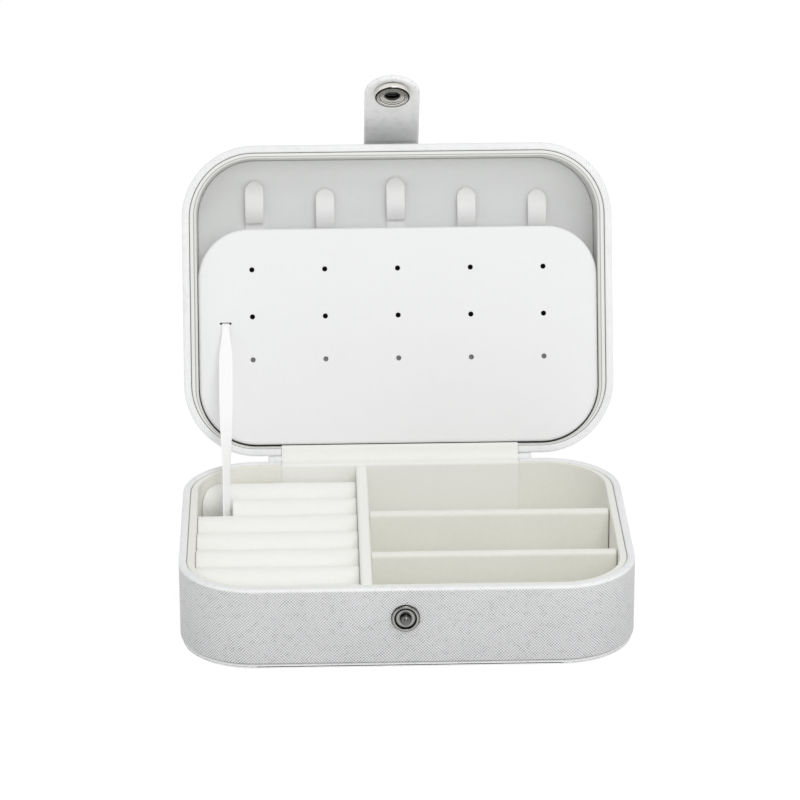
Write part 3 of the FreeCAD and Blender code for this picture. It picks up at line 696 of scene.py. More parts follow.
def liner(height, seam, fold):
    """Velour ring: an oblong section with soft upper edges, carried round between wall and inside.

    Its shade values paint shade into the seam beside the leather and a fold line along the top.
    """
    top = height - LINER_DROP
    edge = LINER_EDGE_R / LINER_SIDE_T
    outer_bend = parabola((0, top - LINER_EDGE_R), (0, top), (edge, top))
    inner_bend = parabola((1 - edge, top), (1, top), (1, top - LINER_EDGE_R))
    side_top = top - LINER_EDGE_R - LINER_HOLD
    inside = np.c_[np.ones(6), np.linspace(side_top, FLOOR, 6)]
    level = np.linspace(edge, 1 - edge, 14)[1:-1]
    flat = np.c_[level, np.full(len(level), top)]
    outside = [(0, FLOOR), (0, side_top)]
    profile = np.concatenate([outside, outer_bend, flat, inner_bend, inside])
    share = profile[:, 0]
    # Painted shade in the seam beside the leather and along the fold line.
    dark = seam * smoothstep(*LINER_SEAM_SHARES, share)
    dark += fold * smoothstep(*LINER_FOLD_SHARES, np.abs(share - LINER_FOLD))
    # Painted shade past the fold too, lighter.
    past_fold = LINER_FOLD + LINER_FOLD_SHARES[0]
    dark += fold * PAST_FOLD_SHADE * smoothstep(LINER_FOLD, past_fold, share)
    points = between(BOX_OUTLINE, WALL_T + FIT, INNER_OUTLINE, profile, phases(corner=40))
    return points, {"painted_shade": np.broadcast_to(dark, points.shape[:2])}


def cover():
    """Leather covered plate: a rounded edge carried round the box, flat below and above."""
    inset = COVER_INSET
    hold = COVER_EDGE_R + PAD_HOLD
    profile = rounded([(inset + hold, 0), (inset, 0), (inset, COVER_T), (inset + hold, COVER_T)],
                      (0, COVER_EDGE_R, COVER_EDGE_R, 0), closed=False)
    return ring(BOX_OUTLINE, profile, phases())


def pad():
    """Velour panel on the floor of a shell, with a soft upper edge."""
    corners = [(PAD_HOLD, FLOOR), (FIT, FLOOR), (FIT, PAD_TOP), (PAD_HOLD, PAD_TOP)]
    profile = rounded(corners, (0, 0, PAD_EDGE_R, 0), closed=False)
    return ring(INNER_OUTLINE, profile, phases())


def add_shell(body, place, height, names, lining):
    """Wrap, liner, cover and pad of the base or of the lid.

    Lining gives the finishes of the liner and the pad, and how dark the painted shade is in the seam and the fold.
    """
    wrap_node, liner_node, cover_node, pad_node = names
    liner_finish, pad_finish, seam, fold = lining
    closed = {"closed_u": True, "closed_v": True}
    wrap = leather_wrap(height)
    # The rim's band: smoother grain and a paler ground, partly painted light.
    stretch_and_light = {"stretch_and_light": STRETCH * smoothstep(height - RIM_STRETCH_AND_LIGHT_H, height - EDGE_R, wrap[..., 2])}
    band, dark = liner(height, seam, fold)
    plate = cover()
    on_edge = np.r_[0, np.ones(plate.shape[1] - 2), 0]
    edge = {"stretch_and_light": np.broadcast_to(COVER_STRETCH * on_edge, plate.shape[:2])}
    capped = {"closed_u": True, "closed_v": False, "caps": ("v0", "v1")}
    for part, points, options, values, finish, slot, node in (
        ("leather", wrap, closed, stretch_and_light, LEATHER, "white_leather", wrap_node),
        ("lining", band, closed, dark, liner_finish, "velour", liner_node),
        ("cover_leather", plate, capped, edge, LEATHER, "white_leather", cover_node),
        ("floor_velour", pad(), capped, None, pad_finish, "velour", pad_node),
    ):
        name = f"{body}_{part}"
        mesh = mesh_of(name, place(points), **options, values=values)
        add_piece(name, mesh, finish, body, [node])


add_shell("base", base_side, BASE_H,
          ("base_leather_wrap", "base_liner", "bottom_cover", "base_floor_pad"),
          (LINER_PILE, LINER_PILE, BASE_SEAM_SHADE, BASE_FOLD_SHADE))
add_shell("lid", lid_side, LID_H,
          ("lid_leather_wrap", "lid_liner", "top_cover", "lid_back_panel"),
          (LID_LINER_PILE, PANEL_PILE, LID_SEAM_SHADE, LID_FOLD_SHADE))


# Partitions and ring rolls

WAVE_TURNS = 11


def loaf(left, right, middle_y, half, low, top, end_r, stations, waves=(0, 0), power=1.0):
    """Upright sides and a crown, carried from left to right and drawn in at both ends.

    Left and right are functions of Y. The crown is a half round, made squarer by a power below one. The
    section shrinks by a quarter round of end_r towards each end, and a slow wave of the given height
    and phase loosens the crown.
    """
    turn = np.radians(np.linspace(0, 180, 25))
    wall = np.linspace(0, 1, 5)[:-1]
    straight = np.ones(len(wall))
    crown_side = np.sign(np.cos(turn)) * np.abs(np.cos(turn)) ** power
    side = np.r_[straight, crown_side, -straight]
    rise = np.r_[wall, np.ones(len(turn)), wall[::-1]]
    lift = np.r_[0 * straight, np.sin(turn).clip(0, 1) ** power, 0 * straight]
    quarter = np.radians(np.linspace(0, 90, 9))
    end = len(quarter)
    drawn = end_r * (1 - np.sin(quarter))
    near = end_r * (1 - np.cos(quarter))
    draw = np.r_[drawn, np.zeros(stations), drawn[::-1]]
    near = np.r_[near, np.full(stations, end_r), near[::-1]][:, None]
    share = np.r_[np.zeros(end), np.linspace(0, 1, stations + 2)[1:-1], np.ones(end)]
    wave = waves[0] * np.sin(share * WAVE_TURNS + waves[1]) * np.sin(share * math.pi)
    width = (half - draw + wave * 0.5)[:, None]
    crown = (top - half + wave)[:, None]
    y = middle_y + side[None] * width
    z = low + (crown - low) * rise[None] + lift[None] * width
    start, stop = left(y), right(y)
    first = (np.arange(len(share)) < end)[:, None]
    last = (np.arange(len(share)) >= end + stations)[:, None]
    x = start + end_r + (stop - start - 2 * end_r) * share[:, None]
    x = np.where(first, start + near, x)
    x = np.where(last, stop - near, x)
    return np.stack([x, y, z], -1)


def level_line(value):
    """Function of Y that has the same value everywhere."""
    return lambda y: np.full_like(y, value)


def add_loaf(name, points, finish):
    """Piece of the base in the place of the node of this name."""
    return add_piece(f"{name}_soft", capped_tube(name, points), finish, "base", [name])


DIVIDER_CROWN = 0.6
DIVIDER_END_R = 0.5


def add_dividers():
    """Velour covered partitions with softly squared tops.

    Each is a loaf along its longer way; the main divider's runs along X and is turned a quarter to Y.
    """
    for node, finish in (("main_divider", DIVIDER_PILE), ("rear_cross_divider", LINER_PILE),
                         ("front_cross_divider", LINER_PILE)):
        low, high = node_corners(node)
        middle, half = node_middle(node)
        turned = node == "main_divider"
        way = 1 if turned else 0
        points = loaf(level_line(low[way]), level_line(high[way]), 0 if turned else middle[1],
                      half[1 - way], low[2], high[2], DIVIDER_END_R, 30, power=DIVIDER_CROWN)
        if turned:
            points = np.stack([middle[0] - points[..., 1], points[..., 0], points[..., 2]], -1)
        add_loaf(node, points, finish)


ROLL_COUNT = 7
ROLL_CLEAR = 0.1
ROLL_GROW = 0.2
ROLL_END_R = 0.7
ROLL_WAVE = 0.08
ROLL_WAVE_SHIFT = 1.7
RIBBON_WELL = -62.0
RIBBON_ROLL = 2


def liner_side(y):
    """X of the left side of the inside at each Y, round the liner's corners."""
    reach = INNER_R - ROLL_CLEAR
    beyond = np.maximum(y - (INNER_BACK - INNER_R), (INNER_FRONT + INNER_R) - y)
    inside = np.sqrt(np.maximum(reach ** 2 - np.maximum(beyond, 0) ** 2, 0))
    return -(INNER_X - INNER_R) - inside


def beside_ribbon(y):
    """X of the left end of the roll that leaves a well for the ribbon."""
    return np.maximum(liner_side(y), RIBBON_WELL)


def add_ring_rolls():
    """Foam rolls in plush: crowned, tight, each a little uneven, cut to the liner's corners.

    Each is a loaf between the liner and the main divider, grown a little at its right end to meet it.
    """
    for number in range(1, ROLL_COUNT + 1):
        node = f"ring_roll_{number}"
        low, high = node_corners(node)
        middle, half = node_middle(node)
        left = beside_ribbon if number == RIBBON_ROLL else liner_side
        right = level_line(high[0] + ROLL_GROW)
        waves = (ROLL_WAVE, number * ROLL_WAVE_SHIFT)
        points = loaf(left, right, middle[1], half[1], low[2], high[2], ROLL_END_R, 60, waves)
        add_loaf(node, points, ROLL_PLUSH)


add_dividers()
add_ring_rolls()


# Earring board, pocket foam and necklace tabs

BOARD_FACE = LID_RIM + 1.0
BOARD_T = 2.5
BOARD_LOW = 4.2
BOARD_TOP = 84.5
BOARD_CLEAR = 0.3
BOARD_HALF = INNER_X - BOARD_CLEAR
BOARD_LOW_R = INNER_R - BOARD_CLEAR
BOARD_TOP_R = 19.0
BOARD_EDGE_R = 1.1
BOARD_SIDE_FALL = 0.9
BOARD_SIDE_W = 14.0
BOARD_EDGE_W = 8.5
HOLE_R = 0.9
HOLE_PITCH = 27.1
HOLE_COLUMNS = np.arange(-2, 3) * HOLE_PITCH
HOLE_ROWS = (35.9, 51.9, 69.4)
HOLE_ZONE = 3.8
HOLE_LINE = 0.7
HOLE_FLOOR_LINE = 0.72
HOLE_STEP_LINE = 0.89
HOLE_DARK_LINE = 0.95
HOLE_ROUND_LINES = (3.0, 1.6)
HOLE_LIP_R = 1.3
HOLE_LIP_W = 0.4
HOLE_LIP_FALL = 0.3
HOLE_STEP = 1.0
HOLE_DEPTH = BOARD_T - 0.1
# How dark the painted shade is in the holes, in the lowest row's holes and in the slit.
HOLE_SHADE = 1.0
LOW_HOLE_SHADE = 0.4
SLIT_SHADE = 0.8
SLIT_X = -64.2
SLIT_AT = 49.5
SLIT_HALF_W = 2.1
SLIT_HALF_H = 0.35
FOAM_TOP = 42.0
FOAM_INSET = 6.0
FOAM_R = 8.0
FOAM_EDGE_R = 0.6
FOAM_HOLD = 7.0
PANEL = LID_TOP - PAD_TOP


def along_lid(distance):
    """Y, with the lid closed, of a place this far from the lid's back edge."""
    return HALF_D - distance


def around_holes(coarse, centres, slit, half):
    """Coarse places, with finer ones round each hole's middle and at both edges of the slit."""
    fine = np.array((0.3, 0.55, 0.7, 0.75, 0.9, 1.0, 1.1, 1.25, 1.45, 1.8, 2.4, 3.2))
    near = np.r_[-fine[::-1], 0, fine]
    edges = np.array((-half - 0.05, -half, half, half + 0.05)) + slit
    kept = coarse[np.abs(coarse[:, None] - np.array(centres)).min(1) > HOLE_ZONE]
    return np.unique(np.round(np.concatenate([kept, edges] + [near + c for c in centres]), 4))


def drawn_in(distance, radius):
    """How far a rounded corner draws the side in, at this distance from the end of the board."""
    rest = np.clip(radius - distance, 0, radius)
    return radius - np.sqrt(radius ** 2 - rest ** 2)


def from_corner(side, end, radius):
    """Distance inwards from a rounded corner, from the distances to the side and to the end."""
    return radius - np.hypot(np.clip(radius - side, 0, radius), np.clip(radius - end, 0, radius))


def board_grid():
    """Places on the board: rows of lines across, drawn in to its outline at the rounded corners.

    Near the rows of holes only the lines outside the holes are drawn in.
    """
    turn = np.radians(np.linspace(0, 66, 20))
    low_rows = BOARD_LOW + BOARD_LOW_R * (1 - np.cos(turn))
    top_rows = BOARD_TOP - BOARD_TOP_R * (1 - np.cos(turn))
    rows = np.linspace(low_rows[-1] + 1, top_rows[-1] - 1, 34)
    rows = np.r_[low_rows, around_holes(rows, HOLE_ROWS, SLIT_AT, SLIT_HALF_H), top_rows[::-1]]
    edge = np.array((0, 0.08, 0.2, 0.4, 0.65, 0.95, 1.4, 2.0, 3.0, 4.2, 5.6, 7.2))
    lines = np.linspace(-BOARD_HALF + BOARD_EDGE_W, BOARD_HALF - BOARD_EDGE_W, 50)
    lines = around_holes(lines, HOLE_COLUMNS, SLIT_X, SLIT_HALF_W)
    lines = np.r_[-BOARD_HALF + edge, lines, BOARD_HALF - edge[::-1]]
    along, across = grid(rows, lines)
    half = BOARD_HALF - drawn_in(along - BOARD_LOW, BOARD_LOW_R)
    half -= drawn_in(BOARD_TOP - along, BOARD_TOP_R)
    kept = HOLE_COLUMNS[-1] + HOLE_ZONE
    apart = np.maximum(smoothstep(HOLE_ROWS[0] - HOLE_ZONE, BOARD_LOW + BOARD_LOW_R, along),
                       smoothstep(HOLE_ROWS[-1] + HOLE_ZONE, HOLE_ROWS[-1] + 2 * HOLE_ZONE, along))
    limit = kept * (1 - apart * (1 - half / BOARD_HALF))
    far = np.abs(across)
    outer = limit + (far - kept) * (half - limit) / (BOARD_HALF - kept)
    return along, np.sign(across) * np.where(far < kept, far * limit / kept, outer)


def earring_board():
    """Padded board: each row of the grid runs over the front and back again over the rear.

    The face falls away in a soft edge, and further at the sides. Round each hole the square lines of
    the grid turn into circles, which go down into the hole, and the slit is a step down.
    """
    along, across = board_grid()
    plain = along.copy()
    side = BOARD_HALF - np.abs(across)
    inwards = np.minimum(from_corner(side, along - BOARD_LOW, BOARD_LOW_R),
                         from_corner(side, BOARD_TOP - along, BOARD_TOP_R))
    rounding = np.clip(1 - inwards / BOARD_EDGE_R, 0, 1)
    depth = BOARD_EDGE_R * (1 - np.sqrt(1 - rounding ** 2))
    depth += BOARD_SIDE_FALL * np.clip(1 - side / BOARD_SIDE_W, 0, 1) ** 3
    painted_shade = np.zeros_like(depth)
    for hole_x in HOLE_COLUMNS:
        for hole_row in HOLE_ROWS:
            dx, dy = across - hole_x, along - hole_row
            square = np.maximum(np.abs(dx), np.abs(dy))
            within = HOLE_R * square / HOLE_LINE
            radius = np.where(square < HOLE_LINE, within, np.maximum(square, HOLE_R))
            scale = radius / np.maximum(np.hypot(dx, dy), 1e-9)
            scale = 1 + (scale - 1) * smoothstep(*HOLE_ROUND_LINES, square)
            across, along = hole_x + dx * scale, hole_row + dy * scale
            lip = np.clip((HOLE_LIP_R - square) / HOLE_LIP_W, 0, 1)
            lip = HOLE_LIP_FALL * (1 - np.sqrt(1 - lip ** 2))
            in_hole = [square < HOLE_FLOOR_LINE, square < HOLE_STEP_LINE]
            depth += np.select(in_hole, [HOLE_DEPTH, HOLE_STEP], lip)
            # Painted shade in the holes, lighter in the lowest row.
            shade = HOLE_SHADE if hole_row > HOLE_ROWS[0] else LOW_HOLE_SHADE
            painted_shade[square < HOLE_DARK_LINE] = shade
    in_slit = np.abs(across - SLIT_X) < SLIT_HALF_W + 0.01
    in_slit &= np.abs(along - SLIT_AT) < SLIT_HALF_H + 0.01
    depth = np.where(in_slit, HOLE_DEPTH, depth)
    # Painted shade in the slit.
    painted_shade[in_slit] = SLIT_SHADE
    front = np.stack([across, along_lid(along), BOARD_FACE + depth], -1)
    columns = np.r_[across.shape[1] - 1:0:-6, 0]
    rear = np.full_like(plain, BOARD_FACE + BOARD_T)
    back = np.stack([across, along_lid(plain), rear], -1)[:, columns]
    painted_shade = np.concatenate([painted_shade, np.zeros(back.shape[:2])], 1)
    return open_lid(np.concatenate([front, back], 1)), painted_shade


def pocket_foam():
    """Foam block behind the board: a rounded oblong with soft edges."""
    sides = (INNER_X - FOAM_INSET, along_lid(FOAM_TOP), INNER_BACK - FOAM_INSET, FOAM_R, FOAM_R)
    low, high = BOARD_FACE + BOARD_T, PANEL
    corners = [(FOAM_HOLD, low), (0, low), (0, high), (FOAM_HOLD, high)]
    profile = rounded(corners, (0, FOAM_EDGE_R, FOAM_EDGE_R, 0), closed=False)
    return open_lid(ring(sides, profile, phases()))


TAB_TOPS = (102.6, 99.6, 103.4, 99.5, 98.4)
TAB_PITCH = 26.6
TAB_W = 7.1
TAB_T = 0.9
TAB_L = 15.5
TAB_ARCH = 2.0
TAB_CLEAR = 0.3
LOWER_TAB_T = 0.7
LOWER_TAB_LAP = 2.5
TAB_HEAD_W = 1.0


def add_tabs():
    """Necklace tabs: an arched strip with a round head above a flat one, both of folded velour.

    The arch is a parabola on the straight fall from its fixed end to its free end, and the head's half
    width is that of a circle.
    """
    for number, tab_top in enumerate(TAB_TOPS):
        middle = (number - 2) * TAB_PITCH
        fixed_z = PANEL - TAB_CLEAR - TAB_T / 2
        free_z = fixed_z - LOWER_TAB_T
        t = np.r_[np.linspace(0, 0.06, 10), np.linspace(0.07, 1, 34)]
        y = along_lid(tab_top - TAB_L * t)
        z = fixed_z + (free_z - fixed_z) * t - 4 * TAB_ARCH * t * (1 - t)
        reach = np.clip(t * TAB_L / (TAB_W / 2), 0, 1)
        half = np.maximum(TAB_W / 2 * np.sqrt(1 - (1 - reach) ** 2), TAB_HEAD_W / 2)
        name = f"necklace_tab_{number + 1}"
        mesh = capped_tube(name, open_lid(strip(np.c_[y, z], half, TAB_T, middle, 9)))
        bend = open_lid(np.array([(middle, y[4], z[4]), (middle, y[16], z[16])]))
        body = ("lid", f"tab_{number + 1}", bend[0], bend[1])
        add_piece(f"{name}_velour", mesh, TAB_PILE, body, [name])
        name = f"lower_tab_{number + 1}"
        run = np.linspace(tab_top - TAB_L + LOWER_TAB_LAP, FOAM_TOP + 0.1, 12)
        path = np.c_[along_lid(run), np.full(12, PANEL - LOWER_TAB_T / 2)]
        mesh = capped_tube(name, open_lid(strip(path, TAB_W / 2, LOWER_TAB_T, middle, 9)))
        add_piece(f"{name}_velour", mesh, TAB_PILE, "lid", [name])


def add_board():
    """The padded earring board and the foam behind it."""
    points, shade = earring_board()
    mesh = capped_tube("earring_board", points, {"painted_shade": shade})
    board = add_piece("earring_board_velour", mesh, BOARD_PILE, "lid",
                      ["earring_board"])
    mesh = mesh_of("board_foam", pocket_foam(), True, False, ("v0", "v1"))
    foam = add_piece("pocket_foam", mesh, ROLL_PLUSH, "lid", ["board_foam"])


add_board()
add_tabs()


# Hinge strips

def lid_path(points):
    """Path of Y and Z on the closed lid, turned to where it is with the lid open."""
    points = np.array(points, float)
    return open_lid(np.c_[np.zeros(len(points)), points])[:, 1:]


def add_hinge_strips():
    """Inner cloth over both rims and outer leather across the back, each one sheet over the hinge."""
    inside = INNER_BACK - CLOTH_T / 2
    half = CLOTH_T / 2
    edge = HALF_D - CLOTH_EDGE
    base_run = [(inside, BASE_H - CLOTH_DEPTH_BASE), (inside, BASE_H - half), (edge, BASE_H - half)]
    lid_run = [(edge, LID_RIM + half), (inside, LID_RIM + half), (inside, LID_RIM + CLOTH_DEPTH_LID)]
    lid_run = lid_path(lid_run)
    bends = (0, CLOTH_RIM_R, CLOTH_FOLD_R, CLOTH_FOLD_R, CLOTH_RIM_R, 0)
    path = spaced(rounded(np.r_[base_run, lid_run], bends, closed=False, steps=9), 0.5)
    mesh = capped_tube("hinge_cloth", strip(path, CLOTH_W / 2, CLOTH_T * CLOTH_THIN))
    body = ("base", "lid", (0, *base_run[2]), (0, *lid_run[0]))
    cloth = add_piece("hinge_cloth", mesh, CLOTH, body, ["hinge_base_leaf", "hinge_lid_leaf"])
    length = path_length(path)
    outside = HALF_D + LEATHER_T / 2
    bend = OUTER_LEAF_BEND
    base_run = [(outside, BASE_H - OUTER_LEAF_H), (outside, BASE_H - bend)]
    lid_run = lid_path([(outside, LID_RIM + bend), (outside, LID_RIM + OUTER_LEAF_H)])
    path = spaced(rounded(np.r_[base_run, lid_run], (0, bend, bend, 0), closed=False), 0.4)
    length = path_length(path)
    along = np.linspace(0, length, len(path))
    reach = np.clip(np.minimum(along, length - along) / OUTER_LEAF_R, 0, 1)
    width = OUTER_LEAF_W / 2 - OUTER_LEAF_R * (1 - np.sqrt(1 - (1 - reach) ** 2))
    points = strip(path, width, LEATHER_T * OUTER_LEAF_THIN)
    stretch_and_light = {"stretch_and_light": np.full(points.shape[:2], STRETCH)}
    mesh = capped_tube("hinge_leather", points, stretch_and_light)
    body = ("base", "lid", (0, *base_run[1]), (0, *lid_run[0]))
    nodes = ["hinge_outer_base_leaf", "hinge_outer_lid_leaf"]
    leather = add_piece("hinge_leather", mesh, LEATHER, body, nodes)


add_hinge_strips()


# Clasp strap

STRAP_W = 20.6
STRAP_T = 2.0
STRAP_L = 42.7
STRAP_SEAM = 6.0
STRAP_SEAM_T = 0.46
STRAP_SEAM_OUT = 0.6
STRAP_SEAM_RISE = 3.0
STRAP_BEND_OUT = 0.4
STRAP_BEND_L = 4.0
STRAP_BEND_R = 2.2
STRAP_STRETCH = 0.45


def add_strap():
    """Leather strap: thin in the seam under the lid's cover, then full, bent at its root.

    Its tip is a half circle, which the width follows as the root of one less the square of the way.
    """
    down = STRAP_DOWN[1:]
    root = STRAP_AXIS[1:]
    tip = root + down * STRAP_L
    path = rounded([(-HALF_D + STRAP_SEAM, root[1]), root, tip], (0, STRAP_BEND_R, 0), closed=False)
    path = spaced(path, 0.7)
    along = distances(path)
    half = STRAP_W / 2
    tip_turn = np.sin(np.linspace(0, math.radians(86), 30))
    start_of_tip = along[-1] - half
    stations = np.r_[along[along < start_of_tip - 0.3], start_of_tip + half * tip_turn]
    path = places_on(path, stations)
    past = np.clip((stations - start_of_tip) / half, 0, 1)
    width = half * np.sqrt(1 - past ** 2)
    seam = STRAP_SEAM + STRAP_SEAM_OUT
    full = smoothstep(seam, seam + STRAP_SEAM_RISE, stations)
    thickness = STRAP_SEAM_T + (STRAP_T - STRAP_SEAM_T) * full
    points = open_lid(strip(path, width, thickness, CLASP_X, 15))
    stretch_and_light = np.full(points.shape[:2], STRAP_STRETCH)
    mesh = capped_tube("clasp_strap", points, {"stretch_and_light": stretch_and_light})
    bend = open_lid(np.array([(CLASP_X, -HALF_D - STRAP_BEND_OUT, root[1]),
                              (CLASP_X, *(root + down * STRAP_BEND_L))]))
    add_piece("clasp_strap", mesh, STRAP_LIT_LEATHER, ("lid", "clasp", bend[0], bend[1]),
              ["strap_outer", "strap_core", "strap_inner", "strap_root"])


RIVET_R = 2.5
RIVET_H = 0.35


def add_rivet():
    """Head of the rivet at the bottom of the socket: a flat dome about the socket's axis."""
    rise = np.radians(np.linspace(0, 88, 9))
    turn, climb = grid(np.radians(np.arange(0, 360, 7.5)), rise)
    level = np.array((1.0, 0, 0))
    upright = np.cross(SOCKET_AXIS, level)
    spoke = np.cos(turn)[..., None] * level + np.sin(turn)[..., None] * upright
    out = RIVET_R * np.cos(climb)[..., None] * spoke
    points = SOCKET_MIDDLE + out + (STRAP_T / 2 + RIVET_H * np.sin(climb))[..., None] * SOCKET_AXIS
    mesh = mesh_of("rivet_head", points, True, False, ("v0", "v1"))
    add_piece("rivet_head", mesh, STEEL, "clasp", [])


add_strap()
add_rivet()


# Lid ribbon

RIBBON_X = SLIT_X
RIBBON_W = 5.2
RIBBON_T = 0.45
RIBBON_BEND_Z = 23.2
RIBBON_LEAD = 6.0
RIBBON_RUN_SHARES = (0.08, 0.55, 0.98)
RIBBON_BLEND_END = 0.9
RIBBON_BEFORE_SLIT = 0.5
RIBBON_BELOW_SLIT = 0.3
RIBBON_PAST_SLIT = 1.0
RIBBON_TWIST = math.radians(62)
RIBBON_NARROW = 2.4
RIBBON_END_W = 9.0
RIBBON_END_L = 7.0
RIBBON_END_T = 0.8


def add_ribbon():
    """Satin ribbon: a flat section along the route from its foot to the slit.

    The section turns about its line from the foot's angle to level, and narrows into the slit.
    """
    slit, end = open_lid(np.array([
        (RIBBON_X, along_lid(SLIT_AT - RIBBON_BELOW_SLIT), BOARD_FACE - RIBBON_BEFORE_SLIT),
        (RIBBON_X, along_lid(SLIT_AT), BOARD_FACE + RIBBON_PAST_SLIT)]))
    anchor_top = node_corners("ribbon_base_anchor")[1][2]
    foot = np.array((RIBBON_X, node_middle("ribbon_base_anchor")[0][1], anchor_top))
    bend = np.array((*foot[:2], RIBBON_BEND_Z))
    run = slit - bend
    ahead = [bend + run * share for share in RIBBON_RUN_SHARES]
    route = [foot, bend - (0, 0, RIBBON_LEAD), bend, *ahead, slit, end]
    curve = bpy.data.curves.new("ribbon_route", "CURVE")
    curve.dimensions = "3D"
    spline = curve.splines.new("NURBS")
    spline.points.add(len(route) - 1)
    for point, place in zip(spline.points, route):
        point.co = (*(place * MM), 1.0)
    spline.order_u = 3
    spline.use_endpoint_u = True
    spline.resolution_u = 12
    holder = in_scene("ribbon_route", curve)
    bpy.context.view_layer.update()
    line = bpy.data.meshes.new_from_object(holder)
    path = np.zeros(len(line.vertices) * 3)
    line.vertices.foreach_get("co", path)
    path = spaced(path.reshape(-1, 3) / MM, 1.0)
    bpy.data.objects.remove(holder)
    bpy.data.meshes.remove(line)
    share = np.linspace(0, 1, len(path))
    twist = RIBBON_TWIST * (1 - smoothstep(0.3, 0.8, share))[:, None]
    width = (RIBBON_W - RIBBON_NARROW * smoothstep(0.83, 0.97, share))[:, None] / 2
    along = unit(np.gradient(path, axis=0))
    level = np.array((1.0, 0, 0))
    upright = np.cross(along, level)
    wide = np.cos(twist) * level + np.sin(twist) * upright
    thin = np.cross(along, wide)
    flat_share, out_share, up_share = flat_section(9, 5)
    half = RIBBON_T / 2
    offset = flat_share * (width - half) + out_share * half
    rise = up_share * half
    points = path[:, None] + offset[..., None] * wide[:, None] + rise[..., None] * thin[:, None]
    mesh = capped_tube("lid_ribbon", points)
    body = ("base", "lid", bend, bend + run * RIBBON_BLEND_END)
    ribbon = add_piece("lid_ribbon_satin", mesh, SATIN, body, ["lid_ribbon"])


def add_ribbon_ends():
    """Glued foot on the floor of the well, and the sewn end behind the earring board."""
    low, high = node_corners("ribbon_base_anchor")
    middle, half = node_middle("ribbon_base_anchor")
    path = np.c_[np.linspace(low[1], high[1], 12), np.full(12, middle[2])]
    points = strip(path, half[0], high[2] - low[2], middle[0])
    mesh = capped_tube("ribbon_foot", points)
    add_piece("ribbon_foot_satin", mesh, SATIN, "base", ["ribbon_base_anchor"])
    along = np.linspace(-RIBBON_END_L / 2, RIBBON_END_L / 2, 12) + along_lid(SLIT_AT)
    path = np.c_[along, np.full(12, BOARD_FACE + BOARD_T + RIBBON_END_T / 2)]
    points = open_lid(strip(path, RIBBON_END_W / 2, RIBBON_END_T, RIBBON_X))
    mesh = capped_tube("ribbon_end", points)
    add_piece("ribbon_end_satin", mesh, SATIN, "lid", ["ribbon_lid_anchor"])


add_ribbon()
add_ribbon_ends()


# Stage, light and camera: the stage and the lamps in metres, the camera in millimetres

FLOOR_HALF = 6.0
FLOOR_Z = -0.00005
AMBIENT = 0.69
FLOOR_GLOW = 0.8
FLOOR_STRENGTH = 1.12
CAMERA_DISTANCE = 1337.64
CAMERA_TARGET = (-1.45, 0.0, 77.08)
CAMERA_ELEVATION = math.radians(21.716)
CAMERA_TURN = math.radians(1.480)
CAMERA_ROLL = math.radians(0.228)
CAMERA_LENS = 170.3


def seen_directly(start):
    """1 for rays that come from the camera, a mirror or through glass, and 0 for light that bounces."""
    path = start.add("ShaderNodeLightPath")
    kinds = ("Camera", "Glossy", "Transmission")
    rays = [Wire(path.socket.node.outputs[f"Is {kind} Ray"]) for kind in kinds]
    seen = rays[0] + rays[1] + rays[2]
    return seen.math("MINIMUM", seen, 1.0)


SQUARE = ((-1, -1), (1, -1), (1, 1), (-1, 1))


def one_quad(name, corners):
    """Mesh of one face through four corners."""
    mesh = bpy.data.meshes.new(name)
    mesh.from_pydata(corners, [], [(0, 1, 2, 3)])
    return mesh


def add_floor():
    """Pale floor: white where it is seen, with the object's soft shadow kept in it."""
    mesh = one_quad("floor", [(x * FLOOR_HALF, y * FLOOR_HALF, FLOOR_Z) for x, y in SQUARE])
    floor = in_scene("floor", mesh)
    finish = bpy.data.materials.new("pale_floor")
    finish.use_nodes = True
    tree = finish.node_tree
    tree.nodes.remove(tree.nodes["Principled BSDF"])
    output = tree.nodes["Material Output"]
    start = Wire(output.inputs[0])
    pale = start.add("ShaderNodeBsdfDiffuse", {}, {"Color": grey(0.8)})
    glow = start.add("ShaderNodeEmission", {}, {"Color": grey(1), "Strength": FLOOR_STRENGTH})
    surface = start.add("ShaderNodeMixShader", {}, {0: FLOOR_GLOW, 1: pale, 2: glow})
    tree.links.new(surface.socket, output.inputs[0])
    mesh.materials.append(finish)


def set_world():
    """White where it is seen, and plain even light on the object."""
    world = bpy.data.worlds.new("studio")
    bpy.context.scene.world = world
    world.use_nodes = True
    tree = world.node_tree
    output = tree.nodes["World Output"]
    start = Wire(output.inputs[0])
    even = start.add("ShaderNodeBackground", {}, {"Color": tone(0.98, 0.99, 1.0), "Strength": AMBIENT})
    white = start.add("ShaderNodeBackground", {}, {"Color": grey(1), "Strength": 1.0})
    surface = start.add("ShaderNodeMixShader", {}, {0: seen_directly(start), 1: even, 2: white})
    tree.links.new(surface.socket, output.inputs[0])


def stand(thing, columns):
    """Set a lamp or camera by the columns of its right, up, backward and place."""
    thing.matrix_world = Matrix(np.r_[columns, [(0, 0, 0, 1)]].tolist())


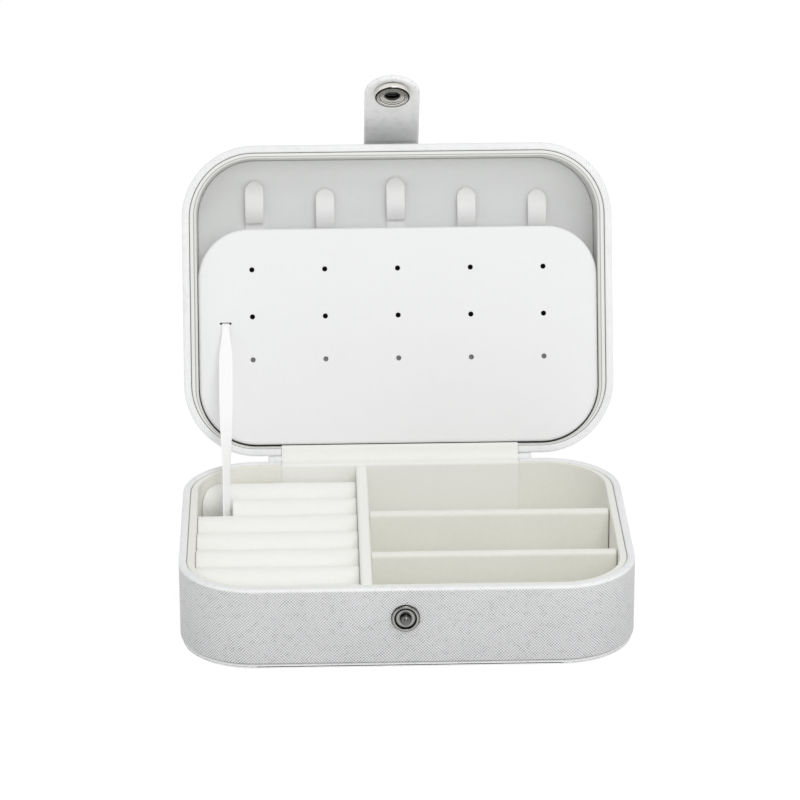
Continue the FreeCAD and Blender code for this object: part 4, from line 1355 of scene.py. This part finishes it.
def add_light(name, place, target, size, power):
    """Soft square lamp that faces a point."""
    lamp = bpy.data.lights.new(name, "AREA")
    lamp.size = size
    lamp.energy = power
    light = in_scene(name, lamp)
    away = np.array(place, float) - np.array(target, float)
    away /= np.linalg.norm(away)
    side = np.cross((0, 1, 0), away)
    side /= np.linalg.norm(side)
    stand(light, np.c_[side, np.cross(away, side), away, place])


def add_dark_card():
    """Dark upright card behind the camera, which only mirrors see, so that the metal has contrast."""
    half_w, y, middle, half_h = 1.1, -1.6, 1.375, 1.025
    mesh = one_quad("dark_card", [(x * half_w, y, middle + z * half_h) for x, z in SQUARE])
    finish, _ = new_finish("dark_card", Base_Color=grey(0.01), Roughness=1.0)
    mesh.materials.append(finish)
    card = in_scene("dark_card", mesh)
    card.visible_camera = False
    card.visible_diffuse = False
    card.visible_shadow = False
    card.visible_transmission = False


def add_camera():
    """Camera on the photograph's line of sight, with its slight roll."""
    c, s = math.cos(CAMERA_ELEVATION), math.sin(CAMERA_ELEVATION)
    ahead, up, right = np.array((0, c, -s)), np.array((0, s, c)), np.array((1.0, 0, 0))
    place = np.array(CAMERA_TARGET) - CAMERA_DISTANCE * ahead
    c, s = math.cos(CAMERA_ROLL), math.sin(CAMERA_ROLL)
    columns = np.c_[c * right - s * up, s * right + c * up, -ahead, place * MM]
    c, s = math.cos(CAMERA_TURN), math.sin(CAMERA_TURN)
    columns = np.array([(c, s, 0), (-s, c, 0), (0, 0, 1)]) @ columns
    lens = bpy.data.cameras.new("camera")
    lens.lens = CAMERA_LENS
    lens.sensor_width = 36.0
    lens.sensor_fit = "HORIZONTAL"
    lens.clip_start = 0.05
    lens.clip_end = 20.0
    camera = in_scene("camera", lens)
    stand(camera, columns)
    bpy.context.scene.camera = camera


add_floor()
set_world()
add_light("key_light", (0.3, -0.6, 1.3), (0, 0.02, 0.06), 0.6, 4.2)
add_light("front_light", (0.1, -1.2, 0.7), (0, 0, 0.12), 0.6, 3.2)
add_dark_card()
add_camera()
bpy.context.scene.view_settings.view_transform = "Standard"
